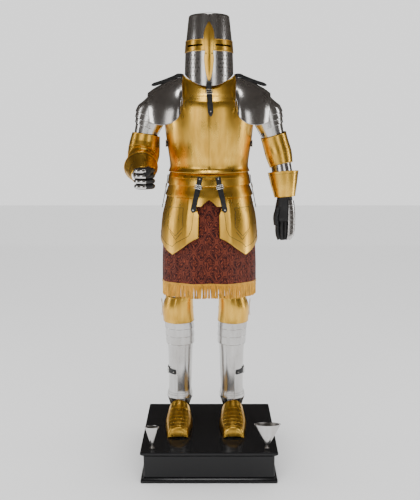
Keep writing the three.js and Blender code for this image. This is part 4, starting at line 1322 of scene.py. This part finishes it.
class ARMOUR_OT_gauntlets(Maker):
    """Gloves: fingers curled round an empty grip on one side, an open hand on the other, with scales."""
    bl_idname = "armour.gauntlets"
    bl_label = "Gauntlets"

    def build(self, details):
        """Fingers are round bars along arcs, scales are short plates over them."""
        turn = FIST["turn"]
        centre = np.array([FIST["x"], FIST["y"], FIST["height"]])

        def curl(angle, radius, rise):
            x = radius * np.cos(angle) + FIST["long"] / 2 * np.tanh(4 * np.cos(angle))
            y = radius * np.sin(angle)
            cosine, sine = math.cos(turn), math.sin(turn)
            return stacked(x * cosine - y * sine, x * sine + y * cosine, rise) + centre

        glove, scales = Form(), Form()
        for finger in range(4):
            rise = (finger - 1.5) * FIST["apart"]
            angle = np.linspace(0.42, 5.86, 60)
            glove.bead(curl(angle, FIST["curl"], rise), FIST["finger"], sides=14)
            for low, high in ((2.15, 2.75), (2.72, 3.32), (3.29, 3.89), (3.86, 4.44)):
                def scale(u, v, low=low, high=high, rise=rise):
                    side = lerp(-1, 1, v)
                    return curl(lerp(low, high, u), 36.9 - 3.0 * side**2 + 0.8 * u, rise + side * 7.2)
                scales.sheet(grid(scale, 10, 8), 1.2)
        forearm = np.array([-271, -216, 1196.0])
        glove.bead(lerp(centre, forearm, np.linspace(0.32, 1, 12)[:, None]), 24, sides=24)
        thumb = curve([(-236, -262, 1224), (-232, -296, 1214), (-248, -311, 1196)], 14)
        glove.bead(thumb, 10.0, sides=14)
        glove.cover("glove_R", "leather", sharp=70)
        scales.cover("hand_scales_R", "steel")

        palm = tube_face(OPEN_HAND, low=82)
        glove, scales = Form(), Form()
        glove.sheet(grid(palm, 48, 24), 2, closed=True)
        for finger in range(4):
            across = (finger - 1.5) * 18.5
            rows = OPEN_HAND.at(np.linspace(2 + 3 * abs(finger - 1.3), 108, 20))
            spread_ = across * np.clip(rows["wide"] / 41, 0.66, 1)
            glove.bead(stacked(rows["x"] + spread_, rows["y"], rows["height"]), 9.6, (0, 1, 0), sides=14)
        thumb = curve([(296, -52, 1040), (285, -66, 1004), (288, -72, 968)], 14)
        glove.bead(thumb, 10.5, sides=14)
        glove.cover("glove_L", "leather", sharp=70)
        for low in np.linspace(6, 150, 8):
            face = tube_face(OPEN_HAND, 20, 160, low, low + 24, lambda a, t, low=low: 6.2 - (t - low) * 0.06)
            scales.edged(face, 30, 4, 1.2, 0.7, sides=("low",))
        scales.domes(*on(tube_face(OPEN_HAND, 20, 160, 4, 172, 5.6), 0.5, np.linspace(0.1, 0.95, 7)), 2.2)
        scales.cover("hand_scales_L", "steel")


class ARMOUR_OT_legs(Maker):
    """Legs: rings of the leg table, stepped knee lames, a winged knee plate and pointed shoes of lames."""
    bl_idname = "armour.legs"
    bl_label = "Legs"

    def build(self, details):
        """Thigh, knee, shin and shoe on each side."""
        def greave_low(angle):
            return lerp(GREAVE["low"], GREAVE["heel"], np.clip((-np.cos(angle) - 0.08) / 0.3, 0, 1))

        def ridge(angle, height):
            return 2.2 * bump(np.degrees(angle) - 10, 7)

        def boss(angle, height):
            away = (2 * height - POLEYN["low"] - POLEYN["high"]) / (POLEYN["high"] - POLEYN["low"])
            swell = np.maximum(np.cos(angle), 0) ** 3 * np.maximum(1 - away**2, 0)
            return POLEYN["off"] + POLEYN["boss"] * swell + ridge(angle, height) * 0.8

        def shoe(u, v):
            row, turn = SABATON.at(1 - v), lerp(-1, 1, u) * np.pi / 2
            rise = np.maximum(np.cos(turn), 0) ** 0.8
            return stacked(126 + row["wide"] * np.sign(np.sin(turn)) * np.abs(np.sin(turn)) ** 0.8,
                           lerp(row["base"], row["y"], rise), 1.3 + (row["ridge"] - 1) * rise)

        for letter, side in SIDES:
            def own(face, side=side):
                return shifted(mirrored(face) if side < 0 else face, LEGS_X)

            def finish(form, part, name, letter=letter):
                form.cover(f"{part}_{letter}", name, "seam_and_painted_shade")

            thigh = own(ring_face(LEG, low=CUISSE["low"], high=CUISSE["high"]))
            finish(Form().edged(thigh, 48, 8, PLATE, 1.3, True, ("high", "low")), "cuisse", "steel")
            cap = own(ring_face(LEG, -POLEYN["turn"], POLEYN["turn"], POLEYN["low"], POLEYN["high"], boss))
            knee = Form().edged(cap, 84, 30, PLATE, 1.6, sides=ALL_ROUND)
            knee.domes(*on(cap, np.array([0.12, 0.88]), 0.5), details.rivet)
            fan_u, fan_v = spread(28)[:, None], spread(10)[None, :]
            swing = lerp(-2.1, 2.1, fan_u)
            out_y = 56 + 34 * fan_v * np.cos(swing)
            out_z = 567 + 40 * fan_v * np.sin(swing)
            out_x = 128 + 71.5 + 3 * fan_v**2 + 0.9 * np.cos(5 * swing) * fan_v
            fan = stacked(out_x, out_y, out_z) * np.array([side, 1, 1]) + np.array([LEGS_X, 0, 0])
            knee.sheet(fan if side > 0 else fan[::-1], PLATE)
            finish(knee, "poleyn", "brass")
            lames = Form()
            for low in KNEE_LAMES["edges"]:
                def lean(angle, height, low=low):
                    return 4.9 - 2.5 * (height - low) / 42 + ridge(angle, height) * 0.6

                turn = KNEE_LAMES["turn"]
                lame = own(ring_face(LEG, -turn, turn, low, low + KNEE_LAMES["tall"], lean))
                lames.edged(lame, 90, 10, PLATE, 1.2, sides=("low",))
                lames.domes(*on(lame, np.array([0.2, 0.8]), 0.4), 2.2)
            finish(lames, "knee_lames", "steel")
            shin = own(ring_face(LEG, low=greave_low, high=GREAVE["high"], off=ridge))
            greave = Form().edged(shin, 90, 52, PLATE, 1.2, True, ("low", "high"))
            for height in (136, 146):
                turn = np.linspace(-np.pi, np.pi, 80, endpoint=False)
                path = ring(LEG.at(np.full(80, height)), turn, ridge(turn, height) + 0.2)
                path = path * np.array([side, 1, 1]) + np.array([LEGS_X, 0, 0])
                greave.use(1).bead(path, 0.5, closed=True)
            finish(greave.use(0), "greave", "steel")
            shoe_face = own(shoe)
            foot = Form()
            edges = [0, 0.12, 0.26, 0.38, 0.5, 0.62, 0.76, 1]
            inside = 0.002, 0.998
            for low, high in zip(edges[:-1], edges[1:]):
                def lame(u, v, low=low, high=high):
                    place = np.clip(lerp(low, min(high + 0.015, 1), v), *inside)
                    return on(shoe_face, np.clip(u, *inside), place, 0.9 * (1 - v))[0]

                foot.edged(lame, 48, 8, PLATE, 1.0, sides=("low",))
            finish(foot, "sabaton", "brass")


class ARMOUR_OT_straps(Maker):
    """Leather straps with buckles and rivets: flat bars along smooth lines over the plates."""
    bl_idname = "armour.straps"
    bl_label = "Straps"

    def build(self, details):
        """Chin, side, shoulder, hip and leg straps."""
        chin = Form()
        hung = [(0, -134, 1560), (0, -144, 1536), (2, -158.5, 1506), (5, -172.5, 1465), (8, -173.5, 1424)]
        path = curve(hung, 60)
        strap(chin, path, (-1, 0, 0), 22)
        chin.use(1).domes((7, -176, 1444), (0, -1, 0.05), 2.6)
        chin.cover("helm_strap", "leather", "buckle")
        clasp = buckle(Form(), (1, -163, 1522), (1, 0, 0), (0, 0.45, 0.9), 28, 18)
        clasp.cover("helm_buckle", "buckle")

        for letter, side in SIDES:
            def band(name, path, across, wide, rivets, clasp_at, tip=14.0, side=side, letter=letter):
                path = path * np.array([side, 1, 1])
                form = strap(Form(), path, across * side, wide, tip=tip)
                ahead = unit(np.gradient(path, axis=0))
                side_way = unit(np.cross(np.cross(ahead, across), ahead))
                out = unit(np.cross(side_way, ahead))
                centre = np.array([0, 0, path[:, 2].mean()])
                if (out[0] * (path[0] - centre)).sum() < 0:
                    out = -out
                at = (np.array(rivets) * (len(path) - 1)).astype(int)
                form.use(1).domes(path[at] + out[at] * 1.5, out[at], 3.2)
                k = int(clasp_at * (len(path) - 1))
                buckle(form, path[k] + out[k] * 2, np.cross(ahead[k], out[k]), ahead[k], wide + 7, 15)
                form.cover(f"{name}_{letter}", "leather", "buckle")

            turn = np.radians(np.linspace(74, 108, 30))
            waist = ring(TORSO.at(np.full(30, 1311.0)), turn, 2.6)
            band("side_strap", waist, np.array([0, 0, 1.0]), 22, (0.08,), 0.5)
            over = [(106, 2, 1592), (126, -4, 1594), (160, -10, 1581), (200, -14, 1566), (242, -19, 1553)]
            band("shoulder_strap", curve(over, 50), np.array([0, 0.72, 0.7]), 21, (0.5,), 0.3)
            fall = np.linspace(0, 1, 40)
            height = lerp(1180, 1036, fall)
            slant = ring(STRAP_COVER.at(height), np.radians(lerp(12, 19.5, fall)), -1.2)
            band("fauld_strap", slant, np.array([1.0, 0, 0]), 21, (0.06, 0.93), 0.3, tip=10)
            hips = ring(STRAP_COVER.at(height), np.radians(lerp(84, 88, fall)), -1.2)
            band("hip_strap", hips, np.array([0, 1.0, 0]), 22, (0.06, 0.93), 0.35, tip=10)
            turn = np.radians(np.linspace(20, 150, 50))
            shin = ring(LEG.at(np.full(50, 257.0)), turn, 2.7)
            shin[:, 0] += LEGS_X * side
            band("greave_strap", shin, np.array([0, 0, 1.0]), 22, (0.1,), 0.4)


class ARMOUR_OT_plinth(Maker):
    """Plinth: rectangles of rounded mouldings stacked up, two sheet cones in front and the painted stand."""
    bl_idname = "armour.plinth"
    bl_label = "Plinth and tip rests"

    def build(self, details):
        """Each board is a profile of inset and height carried round a rectangle."""
        def board(name, profile):
            form = Form()
            inset, height = np.array(profile, float).T
            turn = np.linspace(0, 2 * np.pi, 64, endpoint=False) + np.pi / 64
            way = np.stack([np.cos(turn), np.sin(turn)], 1)
            corner = PLINTH["corner"]
            half = np.array(PLINTH["half"]) - corner
            rings = np.sign(way)[:, None] * (half - inset[:, None]) + corner * way[:, None]
            levels = np.broadcast_to(height[None, :, None], (64, len(height), 1))
            points = np.concatenate([rings, levels], -1)
            points[..., 2] -= PLINTH["tall"]
            ends = points.copy()[:, [0, -1]] * np.array([0.0005, 0.0005, 1])
            points = np.concatenate([ends[:, :1], points, ends[:, 1:]], 1)
            index = np.arange(points.shape[0] * points.shape[1]).reshape(points.shape[:2])
            form.add(points, quads_of(np.vstack([index, index[:1]])))
            form.make(f"{name}_finished", finishes("black_lacquer"), [name], "lacquer", sharp=30, merge=0.5)

        board("plinth_base", [
            (4, 0), (1.5, 0), (0, 1.5), (0, 11), (2, 14), (7, 16.5), (10, 19), (11, 21.8), (13, 21.8),
        ])
        board("plinth_body", [
            (18, 22.3), (14, 22.3), (14, 118), (11, 124), (7, 128), (4, 130), (3.5, 132.7), (6, 132.7),
        ])
        board("plinth_top", [
            (6, 133), (2, 133), (0, 135), (0, 142), (0.8, 144.2), (2.4, 144.9), (2.6, 145), (8, 145),
        ])
        for letter, x, half, deep, tall in (("R", -249, 31, 14, 100), ("L", 254, 58, 18, 112)):
            cone = Table(RINGS, (4, 4, 4, 4), (tall, half, deep, deep))
            pocket = shifted(ring_face(cone, low=4, high=tall), x)
            rest = Form().edged(pocket, 64, 20, PLATE, 1.0, True, ("high",))
            rest.points = [points + np.array([0, -205, 0]) for points in rest.points]
            flat_box(rest, (x - 11, -219, 0.3), (x + 11, -203, 5.3))
            rest.domes((x, -205 - deep * 0.55, tall * 0.5), (0, -1, 0.1), 3.4)
            rest.cover(f"tip_rest_{letter}", "steel")
        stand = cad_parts["stand_frame"]
        stand.data.materials.clear()
        stand.data.materials.append(FINISHES["stand_paint"])


class ARMOUR_OT_finishes(Operator):
    """Makes every procedural material from the finish settings."""
    bl_idname = "armour.finishes"
    bl_label = "Finishes"

    def execute(self, context):
        """Fills the table of materials."""
        s = context.scene.armour_finishes
        FINISHES["steel"] = metal("steel", s.steel[:], s.steel_dull[:], s.steel_rough, 0.3, 0.25)
        FINISHES["brass"] = metal("brass", s.brass[:], s.brass_dull[:], s.brass_rough, 0.55, 0.3)
        FINISHES["buckle"] = metal("buckle", (0.7, 0.7, 0.68), (0.4, 0.4, 0.4), 0.2)
        # Dark metal: the seam lines on the helm's skull and the thin dark lines on other plates, and painted
        # shade on the inside walls of the helm.
        FINISHES["seam_and_painted_shade"] = metal("seam_and_painted_shade", (0.09, 0.07, 0.05), (0.03, 0.03, 0.03), 0.5)
        FINISHES["leather"] = leather_finish("leather", s.leather[:], (0.022, 0.021, 0.02))
        FINISHES["brocade"] = brocade_finish(s)
        FINISHES["gold_thread"] = thread_finish(s)
        FINISHES["black_lacquer"] = lacquer_finish()
        FINISHES["stand_paint"] = paint_finish()
        return {"FINISHED"}


class ARMOUR_OT_stage(Operator):
    """Pale floor, large soft lights, dark panels for the metal to mirror, and the camera."""
    bl_idname = "armour.stage"
    bl_label = "Stage"

    def execute(self, context):
        """Everything around the object."""
        s = context.scene.armour_stage
        pale = Finish("pale").surface(Base_Color=(0.8, 0.8, 0.8), Roughness=0.85)
        dark = Finish("dark").surface(Base_Color=(0.05, 0.042, 0.036), Roughness=0.95)

        def panel(name, corners, material, seen=True):
            mesh = bpy.data.meshes.new(name)
            mesh.from_pydata(corners, [], [(0, 1, 2, 3)])
            mesh.materials.append(material)
            made = bpy.data.objects.new(name, mesh)
            bpy.context.scene.collection.objects.link(made)
            made.visible_camera = seen
            if not seen:
                made.visible_shadow = False
                made.visible_diffuse = False

        panel("floor", [(-9, -9, 0), (9, -9, 0), (9, 9, 0), (-9, 9, 0)], pale)
        room = [(-5, -5.2), (5, -5.2), (5, 5.2), (-5, 5.2)]
        for number, (start, end) in enumerate(zip(room, room[1:] + room[:1])):
            panel(f"flag_{number}", [(*start, 0.02), (*end, 0.02), (*end, 5.4), (*start, 5.4)], dark, False)
        panel("flag_roof", [(*corner, 5.4) for corner in room], dark, False)

        def lamp(name, place, turn, size, power):
            light = bpy.data.lights.new(name, "AREA")
            light.shape = "RECTANGLE"
            light.size, light.size_y = size
            light.energy = power
            made = bpy.data.objects.new(name, light)
            made.location, made.rotation_euler = place, turn
            bpy.context.scene.collection.objects.link(made)

        lamp("key", (-1.75, -3.1, 2.0), (math.radians(82), 0, math.radians(-30)), (1.5, 2.4), s.key)
        lamp("fill", (1.75, -3.3, 1.9), (math.radians(83), 0, math.radians(28)), (1.1, 2.4), s.key * 0.6)
        lamp("side_left", (-3.4, 0.1, 1.5), (math.radians(90), 0, math.radians(-92)), (0.5, 2.8), s.side)
        lamp("side_right", (3.4, 0.1, 1.5), (math.radians(90), 0, math.radians(92)), (0.5, 2.8), s.side)
        lamp("top", (0, -0.9, 4.4), (math.radians(12), 0, 0), (1.3, 0.8), s.top)
        world = bpy.data.worlds.new("studio")
        world.use_nodes = True
        world.node_tree.nodes["Background"].inputs["Color"].default_value = (1, 1, 1, 1)
        world.node_tree.nodes["Background"].inputs["Strength"].default_value = s.world
        context.scene.world = world
        camera = bpy.data.objects.new("camera", bpy.data.cameras.new("camera"))
        camera.data.sensor_width, camera.data.lens = 36, s.lens
        camera.location = (s.camera_x, -s.distance, s.camera_z)
        camera.rotation_euler = (s.tilt, 0, 0)
        bpy.context.scene.collection.objects.link(camera)
        context.scene.camera = camera
        return {"FINISHED"}


STEPS = (
    ARMOUR_OT_finishes, ARMOUR_OT_helm, ARMOUR_OT_cuirass, ARMOUR_OT_fauld, ARMOUR_OT_tassets,
    ARMOUR_OT_skirt, ARMOUR_OT_shoulders, ARMOUR_OT_arms, ARMOUR_OT_gauntlets, ARMOUR_OT_legs,
    ARMOUR_OT_straps, ARMOUR_OT_plinth, ARMOUR_OT_stage,
)


class ARMOUR_PT_main(Panel):
    """All settings and steps in the sidebar."""
    bl_idname = "ARMOUR_PT_main"
    bl_label = "Suit of plate armour"
    bl_space_type = "VIEW_3D"
    bl_region_type = "UI"
    bl_category = "Armour"

    def draw(self, context):
        """Lists every setting, then a button for each step."""
        scene = context.scene
        for group in (scene.armour_finishes, scene.armour_details, scene.armour_stage):
            box = self.layout.box()
            for name in group.bl_rna.properties.keys():
                if name not in ("rna_type", "name"):
                    box.prop(group, name)
        for step in STEPS:
            self.layout.operator(step.bl_idname)


CLASSES = (FinishSettings, DetailSettings, StageSettings, *STEPS, ARMOUR_PT_main)


def register():
    """Adds the classes and the scene's settings."""
    for made in CLASSES:
        bpy.utils.register_class(made)
    bpy.types.Scene.armour_finishes = PointerProperty(type=FinishSettings)
    bpy.types.Scene.armour_details = PointerProperty(type=DetailSettings)
    bpy.types.Scene.armour_stage = PointerProperty(type=StageSettings)


def unregister():
    """Takes them away again."""
    del bpy.types.Scene.armour_stage
    del bpy.types.Scene.armour_details
    del bpy.types.Scene.armour_finishes
    for made in reversed(CLASSES):
        bpy.utils.unregister_class(made)


def main():
    """Runs every step in order."""
    register()
    for step in STEPS:
        family, name = step.bl_idname.split(".")
        if getattr(getattr(bpy.ops, family), name)() != {"FINISHED"}:
            raise RuntimeError(step.bl_idname + " did not finish")


if __name__ == "__main__":
    main()
